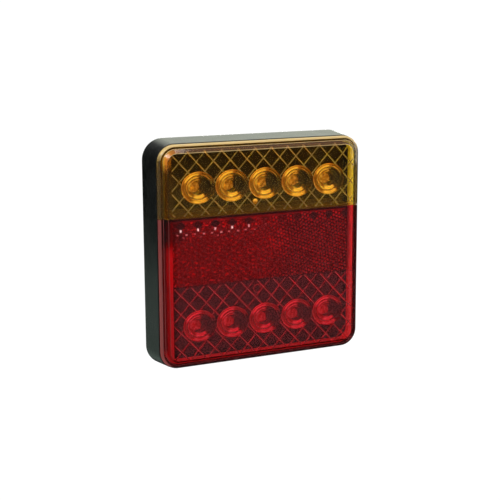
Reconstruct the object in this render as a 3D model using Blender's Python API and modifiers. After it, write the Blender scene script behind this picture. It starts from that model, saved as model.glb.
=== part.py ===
"""Square rear lamp for a trailer: a draughted black housing, a two-colour
lens over its whole front, a reflex reflector, a row of five amber and a row
of five red light-emitting diodes on one board, a two-bolt rear mounting and
a short cable tail.

Frame: +Z up, the lens faces -Y, the origin is the centre of the flat rear
mounting face (y = 0).  All figures are in millimetres.  A "depth" is
measured forwards from the rear face, so y = -depth.
"""
import math
from collections import namedtuple

import bpy
import bmesh
from mathutils import Matrix, Vector

MM = 0.001

# ---- driving dimensions -------------------------------------------------
CLEAR = 0.3                           # clearance between fixed pieces

# Outlines of the side wall: (width, height, corner radius)
BACK_SIZE = (100.0, 100.8, 9.35)      # at the rear face
FRONT_SIZE = (96.8, 97.6, 7.75)       # at the lens flange

# Housing
FLOOR = 2.4                           # floor thickness
WALL = 2.4                            # wall width behind the rebate
WALL_DRAUGHT = 0.5                    # extra wall width at the floor
LIP = 0.9                             # width of the outer lip
RIM_D = 13.7                          # front of the outer lip
REBATE_D = 12.9                       # floor of the seal rebate
BACK_CHAMFER, RIM_CHAMFER = 0.7, 0.2

# Lens
FLANGE_D = 16.1                       # front of the flange
FACE_D = 17.7                         # front of the raised face
FACE_INSET = 3.6                      # face edge inside the flange edge
STEP_INSET = 1.9                      # foot of the step up to the face
FACE_CHAMFER, FLANGE_CHAMFER = 0.35, 0.4
LENS_INNER_D = 15.8                   # inner surface of the face
SKIRT_W, SKIRT_H, SKIRT_R = 91.7, 92.5, 5.2
SKIRT_BACK_D = 10.5                   # rear edge of the skirt
SPLIT_Z = 17.4                        # joint of the amber and red lens
SEAM = 0.3                            # gap kept at that joint

# Diode rows
LED_COUNT, LED_PITCH = 5, 15.8
LED_X = [LED_PITCH * (i - LED_COUNT // 2) for i in range(LED_COUNT)]
AMBER_Z, RED_Z = 30.3, -30.4
LEG_OFFSETS = (-1.27, 1.27)           # the two legs, along X from the diode's axis

# Circuit board
BOARD_BACK, BOARD_T = 6.8, 1.6
BOARD_FRONT = BOARD_BACK + BOARD_T
BOARD_W, BOARD_H, BOARD_R = 88.0, 88.6, 6.0
SEAT_D = BOARD_FRONT + CLEAR          # rear of the parts in front of the board
SUPPORT_X = 38.0
SCREW_POS = [(x, z) for z in (9.0, -8.0) for x in (-SUPPORT_X, SUPPORT_X)]
CORNER_POS = [(x, z) for z in (38.0, -38.0) for x in (-SUPPORT_X, SUPPORT_X)]

# Mounting bolts
STUD_Z, STUD_R, STUD_OUT = 0.0, 2.5, 18.0
STUD_SIDES = (("left", -25.0), ("right", 25.0))
HEAD_D = FLOOR + CLEAR                # rear of the bolt head
NUT_AF, NUT_T, NUT_BORE = 8.0, 4.0, 2.6
PANEL = 2.0                           # panel thickness left free under the washers

# Cable
CABLE_Z, CABLE_R, CABLE_BORE = -14.0, 3.0, 1.95
CABLE_HOLE_R = 5.0
GROMMET_SEAT_D = 1.2
PIVOT_Y = 13.3                        # where the tail starts
SLEEVE_END = PIVOT_Y - CABLE_R - CLEAR
TAIL_Y, TAIL_END_Z = 26.0, -40.0      # hanging length of the tail
LEAD_R = 0.55
# colour name, (x, z) offset from the cable's axis, colour, x at the board
LEADS = [
    ("white", (-0.85, 0.85), (0.85, 0.85, 0.83), -7.5),
    ("red", (-0.85, -0.85), (0.65, 0.03, 0.03), -2.5),
    ("brown", (0.85, -0.85), (0.16, 0.06, 0.03), 2.5),
    ("yellow", (0.85, 0.85), (0.85, 0.62, 0.05), 7.5),
]

# ---- finishes -----------------------------------------------------------
Finish = namedtuple("Finish", "colour roughness metallic alpha", defaults=(0.0, 1.0))

HOUSING_BLACK = Finish(colour=(0.016, 0.018, 0.018), roughness=0.32)
SEAL_BLACK = Finish(colour=(0.02, 0.02, 0.022), roughness=0.55)
DIVIDER_BLACK = Finish(colour=(0.02, 0.02, 0.02), roughness=0.5)
GROMMET_BLACK = Finish(colour=(0.02, 0.02, 0.02), roughness=0.75)
CABLE_BLACK = Finish(colour=(0.02, 0.02, 0.02), roughness=0.6)
AMBER_LENS = Finish(colour=(0.80, 0.36, 0.03), roughness=0.08, alpha=0.55)
RED_LENS = Finish(colour=(0.62, 0.02, 0.03), roughness=0.08, alpha=0.55)
REFLEX_RED = Finish(colour=(0.55, 0.02, 0.04), roughness=0.1, alpha=0.7)
REFLEX_GREY = Finish(colour=(0.62, 0.63, 0.62), roughness=0.45)
BOARD_DARK = Finish(colour=(0.012, 0.016, 0.014), roughness=0.4)
AMBER_LED = Finish(colour=(0.85, 0.78, 0.55), roughness=0.1, alpha=0.8)
RED_LED = Finish(colour=(0.85, 0.25, 0.22), roughness=0.1, alpha=0.8)
RESISTOR_BLUE = Finish(colour=(0.20, 0.32, 0.42), roughness=0.5)
DIODE_BLACK = Finish(colour=(0.03, 0.03, 0.03), roughness=0.4)
SCREW_STEEL = Finish(colour=(0.30, 0.30, 0.31), roughness=0.35, metallic=1.0)
BRIGHT_STEEL = Finish(colour=(0.62, 0.62, 0.64), roughness=0.3, metallic=1.0)
SPRING_STEEL = Finish(colour=(0.55, 0.55, 0.57), roughness=0.35, metallic=1.0)
LEAD_ROUGHNESS = 0.45

# ---- scene and collections ----------------------------------------------
for old in list(bpy.data.objects):
    bpy.data.objects.remove(old, do_unlink=True)

scene = bpy.context.scene
scene.unit_settings.system = "METRIC"
scene.unit_settings.scale_length = 1.0

lamp = bpy.data.collections.new("trailer_tail_light")
cutters = bpy.data.collections.new("cutters")
scene.collection.children.link(lamp)
scene.collection.children.link(cutters)


# ---- helpers ------------------------------------------------------------
# A body made without a finish is a boolean tool: wireframe, not rendered.
def material(name, finish):
    mat = bpy.data.materials.new(name)
    mat.use_nodes = True
    shader = mat.node_tree.nodes["Principled BSDF"]
    shader.inputs["Base Color"].default_value = (*finish.colour, 1.0)
    shader.inputs["Roughness"].default_value = finish.roughness
    shader.inputs["Metallic"].default_value = finish.metallic
    shader.inputs["Alpha"].default_value = finish.alpha
    mat.diffuse_color = (*finish.colour, finish.alpha)
    return mat


def put(name, mesh, finish=None, origin=None):
    """Links a mesh as an object; origin is its own reference point."""
    obj = bpy.data.objects.new(name, mesh)
    if origin is not None:
        shift = Vector(origin) * MM
        mesh.transform(Matrix.Translation(-shift))
        obj.location = shift
    if finish is None:
        cutters.objects.link(obj)
        obj.hide_render = True
        obj.display_type = "WIRE"
    else:
        lamp.objects.link(obj)
        mesh.materials.append(material(name, finish))
    return obj


def shade(mesh, sharp_degrees):
    mesh.shade_smooth()
    mesh.set_sharp_from_angle(angle=math.radians(sharp_degrees))


def finish_mesh(bm, name, sharp_degrees=None):
    bmesh.ops.recalc_face_normals(bm, faces=bm.faces)
    mesh = bpy.data.meshes.new(name)
    bm.to_mesh(mesh)
    bm.free()
    if sharp_degrees is not None:
        shade(mesh, sharp_degrees)
    return mesh


def evaluated_mesh(obj):
    bpy.context.view_layer.update()
    graph = bpy.context.evaluated_depsgraph_get()
    return bpy.data.meshes.new_from_object(obj.evaluated_get(graph))


def rounded(width, height, radius, steps):
    """Points of a rounded rectangle in (x, z), counterclockwise with x right and z up."""
    radius = max(radius, 0.05)
    cx, cz = width / 2 - radius, height / 2 - radius
    points = []
    for x, z, start in ((cx, cz, 0), (-cx, cz, 90), (-cx, -cz, 180), (cx, -cz, 270)):
        for k in range(steps + 1):
            angle = math.radians(start + 90 * k / steps)
            points.append((x + radius * math.cos(angle), z + radius * math.sin(angle)))
    return points


def bridge(bm, lower, upper):
    """Joins two loops of vertices with a band of quads."""
    count = len(lower)
    for i in range(count):
        j = (i + 1) % count
        bm.faces.new((lower[i], lower[j], upper[j], upper[i]))


def loft(name, sections, finish=None, centre=(0.0, 0.0), closed=False, steps=6):
    """A body through rounded-rectangle sections (width, height, radius, depth).

    A closed loft joins its last section to the first and makes a ring;
    otherwise both ends are capped.
    """
    bm = bmesh.new()
    rings = []
    for width, height, radius, depth in sections:
        rings.append([
            bm.verts.new(((centre[0] + x) * MM, -depth * MM, (centre[1] + z) * MM))
            for x, z in rounded(width, height, radius, steps)
        ])
    for lower, upper in zip(rings, rings[1:]):
        bridge(bm, lower, upper)
    if closed:
        bridge(bm, rings[-1], rings[0])
    else:
        bm.faces.new(rings[0])
        bm.faces.new(list(reversed(rings[-1])))
    return put(name, finish_mesh(bm, name, 35), finish)


def box(name, low, high):
    """A boolean tool between two opposite corners."""
    bm = bmesh.new()
    bmesh.ops.create_cube(bm, size=1.0)
    for v in bm.verts:
        v.co = Vector([
            (low[i] + high[i]) / 2 + v.co[i] * (high[i] - low[i]) for i in range(3)
        ]) * MM
    return put(name, finish_mesh(bm, name))


def rod(name, radius, y0, y1, x, z, segments=24, finish=None):
    """A straight cylinder or prism along Y from y0 to y1."""
    bm = bmesh.new()
    bmesh.ops.create_cone(bm, cap_ends=True, segments=segments, radius1=radius * MM,
                          radius2=radius * MM, depth=abs(y1 - y0) * MM)
    place = Matrix.Translation(Vector((x, (y0 + y1) / 2, z)) * MM)
    bm.transform(place @ Matrix.Rotation(math.radians(90), 4, "X"))
    return put(name, finish_mesh(bm, name, 35 if segments > 8 else None), finish)


def turned(name, profile, at, forward=False, steps=24, finish=None):
    """A body of revolution about a line parallel to Y through the point at.

    The profile is (radius, distance); distance runs along -Y if forward,
    otherwise along +Y.  A profile clear of the axis is closed to a ring.
    """
    bm = bmesh.new()
    verts = [bm.verts.new((radius * MM, 0.0, distance * MM)) for radius, distance in profile]
    for start, end in zip(verts, verts[1:]):
        bm.edges.new((start, end))
    if profile[0][0] > 0 and profile[-1][0] > 0:
        bm.edges.new((verts[-1], verts[0]))
    mesh = bpy.data.meshes.new(name)
    bm.to_mesh(mesh)
    bm.free()
    obj = put(name, mesh, finish)
    obj.location = Vector(at) * MM
    obj.rotation_euler = (math.radians(90 if forward else -90), 0, 0)
    screw = obj.modifiers.new("turn", "SCREW")
    screw.axis = "Z"
    screw.angle = math.radians(360)
    screw.steps = screw.render_steps = steps
    screw.use_merge_vertices = True
    screw.merge_threshold = 1e-6
    screw.use_smooth_shade = True
    return obj


def boolean(obj, tool, operation):
    mod = obj.modifiers.new(operation.lower() + "_" + tool.name, "BOOLEAN")
    mod.operation = operation
    mod.object = tool
    mod.solver = "EXACT"


def add(obj, tool):
    boolean(obj, tool, "UNION")


def cut(obj, tool):
    boolean(obj, tool, "DIFFERENCE")


def settle(obj):
    """Replaces an object's mesh with its evaluated one and drops its modifiers."""
    mesh = evaluated_mesh(obj)
    mesh.name = obj.name
    shade(mesh, 35)
    obj.modifiers.clear()
    obj.data = mesh


def tube(name, points, radius, finish=None, resolution=2, origin=None):
    """A round wire along a polyline, as a mesh with welded caps."""
    curve = bpy.data.curves.new(name, "CURVE")
    curve.dimensions = "3D"
    curve.bevel_depth = radius * MM
    curve.bevel_resolution = resolution
    curve.use_fill_caps = True
    spline = curve.splines.new("POLY")
    spline.points.add(len(points) - 1)
    for point, position in zip(spline.points, points):
        point.co = (*[c * MM for c in position], 1.0)
    wire = bpy.data.objects.new(name + "_path", curve)
    lamp.objects.link(wire)
    mesh = evaluated_mesh(wire)
    bpy.data.objects.remove(wire, do_unlink=True)
    bm = bmesh.new()
    bm.from_mesh(mesh)
    bmesh.ops.remove_doubles(bm, verts=bm.verts, dist=1e-6)
    bpy.data.meshes.remove(mesh)
    return put(name, finish_mesh(bm, name, 40), finish, origin)


def bend(points, radius, steps):
    """Rounds each corner of a polyline; an arc takes at most 0.49 of a leg."""
    points = [Vector(p) for p in points]
    out = [points[0]]
    for before, corner, after in zip(points, points[1:], points[2:]):
        back, ahead = (before - corner).normalized(), (after - corner).normalized()
        angle = back.angle(ahead)
        reach = min(radius / math.tan(angle / 2),
                    (before - corner).length * 0.49,
                    (after - corner).length * 0.49)
        arc_r = reach * math.tan(angle / 2)
        centre = corner + (back + ahead).normalized() * (arc_r / math.sin(angle / 2))
        start = corner + back * reach - centre
        end = corner + ahead * reach - centre
        turn = start.angle(end)
        for k in range(steps + 1):
            t = k / steps
            spoke = start * math.sin((1 - t) * turn) + end * math.sin(t * turn)
            out.append(centre + spoke / math.sin(turn))
    out.append(points[-1])
    return out


def hex_radius(across_flats):
    """Corner radius of a hexagon."""
    return across_flats / 2 / math.cos(math.radians(30))


def wall_size(depth):
    """Outline of the draughted side wall at a depth."""
    t = depth / FLANGE_D
    return [back + (front - back) * t for back, front in zip(BACK_SIZE, FRONT_SIZE)]


def inset_section(size, inset, depth):
    width, height, radius = size
    return (width - 2 * inset, height - 2 * inset, radius - inset, depth)


def wall_section(depth, inset):
    return inset_section(wall_size(depth), inset, depth)


# ---- housing and seal ---------------------------------------------------
def build_housing():
    housing = loft("rear_housing", [
        wall_section(0.0, BACK_CHAMFER),
        wall_section(BACK_CHAMFER, 0.0),
        wall_section(RIM_D - RIM_CHAMFER, 0.0),
        wall_section(RIM_D, RIM_CHAMFER),
        wall_section(RIM_D, LIP),
        wall_section(REBATE_D, LIP),
        wall_section(REBATE_D, WALL),
        wall_section(FLOOR, WALL + WALL_DRAUGHT),
    ], HOUSING_BLACK)

    root_y = -2.0                     # bosses start inside the floor
    rest_y = -(BOARD_BACK - CLEAR)    # and stop short of the board
    outside_y, inside_y = 1.0, -4.0   # ends of the holes through the floor
    for n, (x, z) in enumerate(SCREW_POS):
        add(housing, rod(f"screw_boss_{n}", 3.0, root_y, rest_y, x, z, 20))
        cut(housing, rod(f"screw_pilot_{n}", 1.55, -2.9, -(BOARD_BACK + 1), x, z, 12))
    for n, (x, z) in enumerate(CORNER_POS):
        add(housing, rod(f"corner_rest_{n}", 2.6, root_y, rest_y, x, z, 16))
    for side, x in STUD_SIDES:
        add(housing, rod(f"stud_boss_{side}", 7.0, root_y, -4.9, x, STUD_Z))
        cut(housing, rod(f"head_pocket_{side}", hex_radius(NUT_AF + 2 * CLEAR),
                         -FLOOR, -6.0, x, STUD_Z, 6))
        cut(housing, rod(f"stud_hole_{side}", STUD_R + CLEAR, outside_y, inside_y, x, STUD_Z))
    cut(housing, rod("cable_hole", CABLE_HOLE_R, outside_y, inside_y, 0, CABLE_Z))
    # The grommet's flange lies in a counterbore, so the rear face can sit flat on a panel.
    cut(housing, rod("grommet_seat", 7.4, outside_y, -GROMMET_SEAT_D, 0, CABLE_Z))
    # Two shallow coring pockets leave a flat mounting band across the rear face.
    for name, height, z in (("upper_pocket", 32.0, 27.5), ("lower_pocket", 20.0, -34.0)):
        sections = [(84.0, height, 4.0, depth) for depth in (-1.0, 0.9)]
        cut(housing, loft(name, sections, centre=(0.0, z)))


def build_seal_bead():
    """A square-section ring in the rebate."""
    size = wall_size(REBATE_D)
    outer, inner = LIP + CLEAR, WALL - CLEAR
    loft("lens_seal_bead", [
        inset_section(size, outer, REBATE_D + CLEAR),
        inset_section(size, outer, RIM_D),
        inset_section(size, inner, RIM_D),
        inset_section(size, inner, REBATE_D + CLEAR),
    ], SEAL_BLACK, closed=True)


# ---- two-colour lens ----------------------------------------------------
OPTIC_R = 7.3
# Ring prism round a small dome: (radius, distance behind the face's inner surface)
OPTIC_PROFILE = [
    (0.0, 1.1), (1.6, 0.95), (3.0, 0.45), (4.3, 0.45),
    (5.2, 1.3), (OPTIC_R - 0.6, 1.3), (OPTIC_R, -0.5), (0.0, -0.5),
]


def build_lens(colour, finish, row_z, bottom, top):
    """The part of the whole lens between two heights, with an optic at each diode."""
    lens = loft(f"lens_{colour}", [
        (SKIRT_W - 3.2, SKIRT_H - 3.2, 3.4, LENS_INNER_D),
        (SKIRT_W - 3.0, SKIRT_H - 3.0, 3.5, SKIRT_BACK_D),
        (SKIRT_W, SKIRT_H, SKIRT_R, SKIRT_BACK_D),
        (SKIRT_W + 0.1, SKIRT_H + 0.1, SKIRT_R, RIM_D + CLEAR),
        wall_section(RIM_D + CLEAR, 0.05),
        wall_section(FLANGE_D - FLANGE_CHAMFER, 0.0),
        wall_section(FLANGE_D, FLANGE_CHAMFER),
        inset_section(FRONT_SIZE, STEP_INSET, FLANGE_D),
        inset_section(FRONT_SIZE, FACE_INSET - FACE_CHAMFER, FACE_D - FACE_CHAMFER),
        inset_section(FRONT_SIZE, FACE_INSET, FACE_D),
    ], finish)
    limit = box(f"{colour}_limit", (-60, -30, bottom), (60, 5, top))
    boolean(lens, limit, "INTERSECT")
    for n, x in enumerate(LED_X):
        add(lens, turned(f"{colour}_optic_{n + 1}", OPTIC_PROFILE,
                         (x, -LENS_INNER_D, row_z), steps=16))


# ---- reflex reflector and divider ---------------------------------------
LENS_GAP = 0.35                       # gap behind the lens face


def build_reflector():
    width, bottom, top = 85.6, -12.6, 15.6
    height = top - bottom
    centre = (0.0, (bottom + top) / 2)
    front, thickness = LENS_INNER_D - LENS_GAP, 2.5
    loft("reflex_plate", [
        (width, height, 1.6, front),
        (width, height, 1.6, front - thickness),
    ], REFLEX_RED, centre=centre, steps=3)

    # A tray with its raised rim towards the lens.
    back, floor, rim = 11.4, 12.6, 13.6
    loft("reflex_backing", [
        (width + 1.8, height + 1.8, 2.2, back),
        (width + 1.8, height + 1.8, 2.2, rim),
        (width + 0.6, height + 0.6, 1.8, rim),
        (width + 0.6, height + 0.6, 1.8, floor),
    ], REFLEX_GREY, centre=centre, steps=3)


def build_divider():
    """Opaque web on a flat foot, between the amber and the red chamber."""
    half_length, middle_z = 43.0, SPLIT_Z + 0.3
    foot_y = -SEAT_D
    web_y = foot_y - 1.0
    tip_y = -LENS_INNER_D + LENS_GAP
    # (y, height from the middle)
    profile = [
        (foot_y, -2.4), (web_y, -2.4), (web_y, -0.75), (tip_y, -0.6),
        (tip_y, 0.6), (web_y, 0.75), (web_y, 2.4), (foot_y, 2.4),
    ]
    bm = bmesh.new()
    left, right = [
        [bm.verts.new((x * MM, y * MM, (middle_z + z) * MM)) for y, z in profile]
        for x in (-half_length, half_length)
    ]
    bm.faces.new(left)
    bm.faces.new(list(reversed(right)))
    bridge(bm, left, right)
    put("light_divider", finish_mesh(bm, "light_divider"), DIVIDER_BLACK)


# ---- circuit board and its parts ----------------------------------------
def build_board():
    board = loft("circuit_board", [
        (BOARD_W, BOARD_H, BOARD_R, BOARD_BACK),
        (BOARD_W, BOARD_H, BOARD_R, BOARD_FRONT),
    ], BOARD_DARK, steps=5)
    back_y, front_y = -BOARD_BACK + 1, -BOARD_FRONT - 1
    for n, (x, z) in enumerate(SCREW_POS):
        cut(board, rod(f"board_hole_{n}", 1.7, back_y, front_y, x, z, 16))
    for row, z in (("amber", AMBER_Z), ("red", RED_Z)):
        for n, x in enumerate(LED_X):
            for k, offset in enumerate(LEG_OFFSETS):
                cut(board, rod(f"{row}_lead_hole_{n}_{k}", 0.75, back_y, front_y,
                               x + offset, z, 6))


def build_board_screws():
    # (radius, depth): domed head, shank, pointed end
    profile = [
        (0.0, SEAT_D + 1.7), (1.6, SEAT_D + 1.6), (2.5, SEAT_D + 0.9), (2.6, SEAT_D),
        (1.25, SEAT_D), (1.25, 3.6), (0.7, 3.2), (0.0, 3.2),
    ]
    for n, (x, z) in enumerate(SCREW_POS):
        turned(f"board_screw_{n + 1}", profile, (x, 0.0, z), forward=True, steps=14,
               finish=SCREW_STEEL)


# Domed body on a wider collar: (radius, depth)
LED_PROFILE = [(radius, SEAT_D + rise) for radius, rise in (
    (0.0, 5.0), (0.8, 4.87), (1.55, 4.46), (2.17, 3.75), (2.5, 2.5),
    (2.5, 1.0), (2.9, 1.0), (2.9, 0.0), (0.0, 0.0),
)]
LEG_HALF = 0.25                       # half the width of a square leg


def build_led_row(row, z, finish):
    """The first diode is modelled; the others share its mesh."""
    name, x = f"{row}_led_1", LED_X[0]
    first = turned(name, LED_PROFILE, (x, 0.0, z), forward=True, steps=16, finish=finish)
    for k, offset in enumerate(LEG_OFFSETS):
        leg_x = x + offset
        add(first, box(f"{name}_lead_{k}",
                       (leg_x - LEG_HALF, -SEAT_D - 0.4, z - LEG_HALF),
                       (leg_x + LEG_HALF, -BOARD_BACK + 1.2, z + LEG_HALF)))
    settle(first)
    for n in range(1, LED_COUNT):
        copy = bpy.data.objects.new(f"{row}_led_{n + 1}", first.data)
        lamp.objects.link(copy)
        copy.location = Vector((LED_X[n], 0.0, z)) * MM
        copy.rotation_euler = (math.radians(90), 0, 0)


def barrel(name, radius, length, x, z, finish):
    """A small barrel part lying along X on the front of the board."""
    bm = bmesh.new()
    bmesh.ops.create_cone(bm, cap_ends=True, segments=12, radius1=radius * MM,
                          radius2=radius * MM, depth=length * MM)
    end_edges = [e for e in bm.edges if abs(e.verts[0].co.z - e.verts[1].co.z) < 1e-7]
    bmesh.ops.bevel(bm, geom=end_edges, offset=0.25 * MM, segments=1, affect="EDGES",
                    profile=0.5)
    place = Matrix.Translation(Vector((x, -(SEAT_D + radius), z)) * MM)
    bm.transform(place @ Matrix.Rotation(math.radians(90), 4, "Y"))
    put(name, finish_mesh(bm, name, 40), finish)


def build_barrels():
    """Resistors and blocking diodes, behind the reflector."""
    for n, x in enumerate((-24.0, -12.0, 12.0, 24.0)):
        barrel(f"resistor_{n + 1}", 1.1, 6.2, x, 5.5, RESISTOR_BLUE)
    for n, x in enumerate((-18.0, 0.0, 18.0)):
        barrel(f"blocking_diode_{n + 1}", 1.25, 4.6, x, -3.5, DIODE_BLACK)


# ---- mounting bolts, washers and nuts -----------------------------------
def washer(name, radius, start, thickness, x, finish):
    hole_r, end = 2.75, start + thickness
    profile = [(radius, end), (radius, start), (hole_r, start), (hole_r, end)]
    turned(name, profile, (x, 0.0, STUD_Z), finish=finish)


def build_mounting(side, x):
    head_height, tip_chamfer, overlap = 3.2, 0.5, 0.5
    stud = rod(f"stud_{side}", hex_radius(NUT_AF), -HEAD_D, -(HEAD_D + head_height),
               x, STUD_Z, 6, BRIGHT_STEEL)
    root = -HEAD_D - overlap          # the shank starts inside the head
    add(stud, turned(f"shank_{side}", [
        (0.0, STUD_OUT), (STUD_R - tip_chamfer, STUD_OUT),
        (STUD_R, STUD_OUT - tip_chamfer), (STUD_R, root), (0.0, root),
    ], (x, 0.0, STUD_Z)))
    settle(stud)

    # Stacked rearwards along +Y, a clearance apart.
    washer_t, lock_t = 1.0, 1.2
    washer_y = PANEL + CLEAR
    lock_y = washer_y + washer_t + CLEAR
    nut_y = lock_y + lock_t + CLEAR
    washer(f"washer_{side}", 5.0, washer_y, washer_t, x, BRIGHT_STEEL)
    washer(f"lock_washer_{side}", 4.5, lock_y, lock_t, x, SPRING_STEEL)
    nut = rod(f"nut_{side}", hex_radius(NUT_AF), nut_y, nut_y + NUT_T, 0.0, 0.0, 6,
              BRIGHT_STEEL)
    nut.location = Vector((x, 0.0, STUD_Z)) * MM
    cut(nut, rod(f"nut_bore_{side}", NUT_BORE, PANEL + 2.0, PANEL + 9.0, x, STUD_Z))


# ---- cable --------------------------------------------------------------
def build_grommet():
    """Tapered nose behind the floor, flange in the seat, neck and inner collar."""
    flange_r, collar_r, bore = 7.0, 5.9, 3.35
    neck_r = CABLE_HOLE_R - CLEAR
    nose_y, flange_back, flange_front = 11.0, 0.9, -GROMMET_SEAT_D + CLEAR
    collar_back = -FLOOR - CLEAR
    collar_front = collar_back - 1.0
    turned("cable_grommet", [
        (4.2, nose_y), (5.6, 1.2), (flange_r, flange_back), (flange_r, flange_front),
        (neck_r, flange_front), (neck_r, collar_back), (collar_r, collar_back),
        (collar_r, collar_front), (bore, collar_front), (bore, nose_y),
    ], (0.0, 0.0, CABLE_Z), steps=20, finish=GROMMET_BLACK)


def build_sleeve():
    """Straight sleeve, open at the front and closed at the rear."""
    front, bore_end = -3.2, SLEEVE_END - 2.0
    turned("cable_sleeve", [
        (0.0, SLEEVE_END), (CABLE_R, SLEEVE_END), (CABLE_R, front),
        (CABLE_BORE, front), (CABLE_BORE, bore_end), (0.0, bore_end),
    ], (0.0, 0.0, CABLE_Z), steps=16, finish=CABLE_BLACK)


def build_leads():
    """Inner leads in two layers, so that no lead crosses another."""
    front_y, rear_y = -5.9, -4.4
    for colour, (dx, dz), rgb, start_x in LEADS:
        layer = rear_y if dz > 0 else front_y
        z = CABLE_Z + dz
        path = bend([
            (start_x, front_y, 4.0),
            (start_x, layer, -1.5),
            (dx, layer, z + 2.6),
            (dx, layer, z),
            (dx, SLEEVE_END - 2.5, z),
        ], radius=1.1, steps=3)
        tube(f"lead_{colour}", path, LEAD_R, Finish(rgb, LEAD_ROUGHNESS))


def build_tail():
    """The tail hangs behind the lamp and ends in four cores."""
    pivot = (0.0, PIVOT_Y, CABLE_Z)
    path = bend([pivot, (0.0, TAIL_Y, CABLE_Z), (0.0, TAIL_Y, TAIL_END_Z)],
                radius=9.0, steps=7)
    tail = tube("cable_tail", path, CABLE_R, CABLE_BLACK, resolution=3, origin=pivot)

    # A ball rounds the tail's upper end.
    bm = bmesh.new()
    bmesh.ops.create_uvsphere(bm, u_segments=20, v_segments=12, radius=CABLE_R * MM)
    place = Matrix.Translation(Vector(pivot) * MM)
    bm.transform(place @ Matrix.Rotation(math.radians(90), 4, "X"))
    add(tail, put("tail_end", finish_mesh(bm, "tail_end")))

    socket_top, socket_bottom = -37.0, -45.0
    offset_scale = 1.02               # core offsets against those of the inner leads
    # (spread from the tail's axis, z) down each core
    stations = [(1.0, socket_top - 0.4), (1.0, -40.6), (1.6, -44.5), (1.84, -49.0)]
    for colour, (dx, dz), rgb, _ in LEADS:
        x, dy = dx * offset_scale, dz * offset_scale
        y = TAIL_Y + dy
        cut(tail, tube(f"core_socket_{colour}", [(x, y, socket_top), (x, y, socket_bottom)],
                       LEAD_R + 0.15, resolution=1))
        core = [(x * spread, TAIL_Y + dy * spread, z) for spread, z in stations]
        tube(f"core_{colour}", core, LEAD_R, Finish(rgb, LEAD_ROUGHNESS), origin=pivot)


# ---- assembly -----------------------------------------------------------
build_housing()
build_seal_bead()
build_lens("amber", AMBER_LENS, AMBER_Z, bottom=SPLIT_Z + SEAM / 2, top=60)
build_lens("red", RED_LENS, RED_Z, bottom=-60, top=SPLIT_Z - SEAM / 2)
build_reflector()
build_divider()
build_board()
build_board_screws()
build_led_row("amber", AMBER_Z, AMBER_LED)
build_led_row("red", RED_Z, RED_LED)
build_barrels()
for stud_side, stud_x in STUD_SIDES:
    build_mounting(stud_side, stud_x)
build_grommet()
build_sleeve()
build_leads()
build_tail()

bpy.context.view_layer.update()
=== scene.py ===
"""Looks of a square trailer tail lamp: amber lens above, red lens with a reflector below.

The rear face lies at y = 0 and the lens faces -Y; studs and cable stand out towards +Y.
Seen from the front, +X is right; Z is up.  All lengths are millimetres, and meshes are
scaled to metres when they are made.  "Depth" is the distance in front of the rear face,
so y = -depth.  A section is (width, height, corner radius, depth).
"""
import math
from functools import cached_property

import bmesh
import bpy
from mathutils import Matrix, Vector


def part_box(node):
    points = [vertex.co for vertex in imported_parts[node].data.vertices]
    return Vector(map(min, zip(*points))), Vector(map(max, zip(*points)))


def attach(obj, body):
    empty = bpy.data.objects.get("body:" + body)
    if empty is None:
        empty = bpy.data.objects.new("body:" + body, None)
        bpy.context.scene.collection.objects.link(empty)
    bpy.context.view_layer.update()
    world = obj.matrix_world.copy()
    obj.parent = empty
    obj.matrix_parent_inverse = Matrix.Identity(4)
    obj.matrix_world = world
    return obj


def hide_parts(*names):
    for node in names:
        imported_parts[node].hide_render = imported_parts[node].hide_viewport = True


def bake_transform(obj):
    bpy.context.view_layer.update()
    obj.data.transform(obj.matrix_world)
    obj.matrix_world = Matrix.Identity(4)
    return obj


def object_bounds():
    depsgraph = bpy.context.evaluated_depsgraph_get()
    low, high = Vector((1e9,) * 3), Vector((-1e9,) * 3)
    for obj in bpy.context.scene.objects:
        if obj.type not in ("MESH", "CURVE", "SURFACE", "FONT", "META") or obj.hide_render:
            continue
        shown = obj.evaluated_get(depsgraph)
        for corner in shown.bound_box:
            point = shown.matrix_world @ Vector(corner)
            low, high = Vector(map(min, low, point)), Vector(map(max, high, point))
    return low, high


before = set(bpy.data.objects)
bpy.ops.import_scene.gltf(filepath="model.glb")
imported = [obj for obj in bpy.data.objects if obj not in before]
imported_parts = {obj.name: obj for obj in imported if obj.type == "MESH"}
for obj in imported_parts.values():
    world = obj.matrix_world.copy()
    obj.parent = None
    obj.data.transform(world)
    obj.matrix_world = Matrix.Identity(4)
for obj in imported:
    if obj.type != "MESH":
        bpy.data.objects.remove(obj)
cad_lo, cad_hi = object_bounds()
MM = 0.001

# ---- driving dimensions, shared with the CAD -----------------------------
BACK_W, BACK_H, BACK_R = 100.0, 100.8, 9.35
TAPER = 1.6                                  # how far each side draws in towards the front
FRONT = (BACK_W - 2 * TAPER, BACK_H - 2 * TAPER, BACK_R - TAPER)
FRONT_W, FRONT_H, FRONT_R = FRONT

# depths, then insets from the front outline
FLANGE_D, FACE_D, INNER_D = 16.1, 17.7, 15.8    # flange, raised face, rear of the face
RIM_D, REBATE_D = 13.7, 12.9
FACE_INSET, STEP_INSET = 3.6, 1.9
LIP, WALL, FLOOR = 0.9, 2.4, 2.4             # housing walls
SPLIT_Z, SEAM = 17.4, 0.16                   # where the amber and red lenses meet

LED_PITCH, AMBER_Z, RED_Z = 15.8, 30.3, -30.4
LED_X = [LED_PITCH * (i - 2) for i in range(5)]
LEG_X = 1.27                                 # diode legs, either side of the axis
LEG_POS = [(x + side, z) for z in (AMBER_Z, RED_Z) for x in LED_X for side in (-LEG_X, LEG_X)]

REFLEX_Z0, REFLEX_Z1, REFLEX_W = -12.6, 15.6, 85.6
REFLEX_MID, REFLEX_H = (REFLEX_Z0 + REFLEX_Z1) / 2, REFLEX_Z1 - REFLEX_Z0

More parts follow.
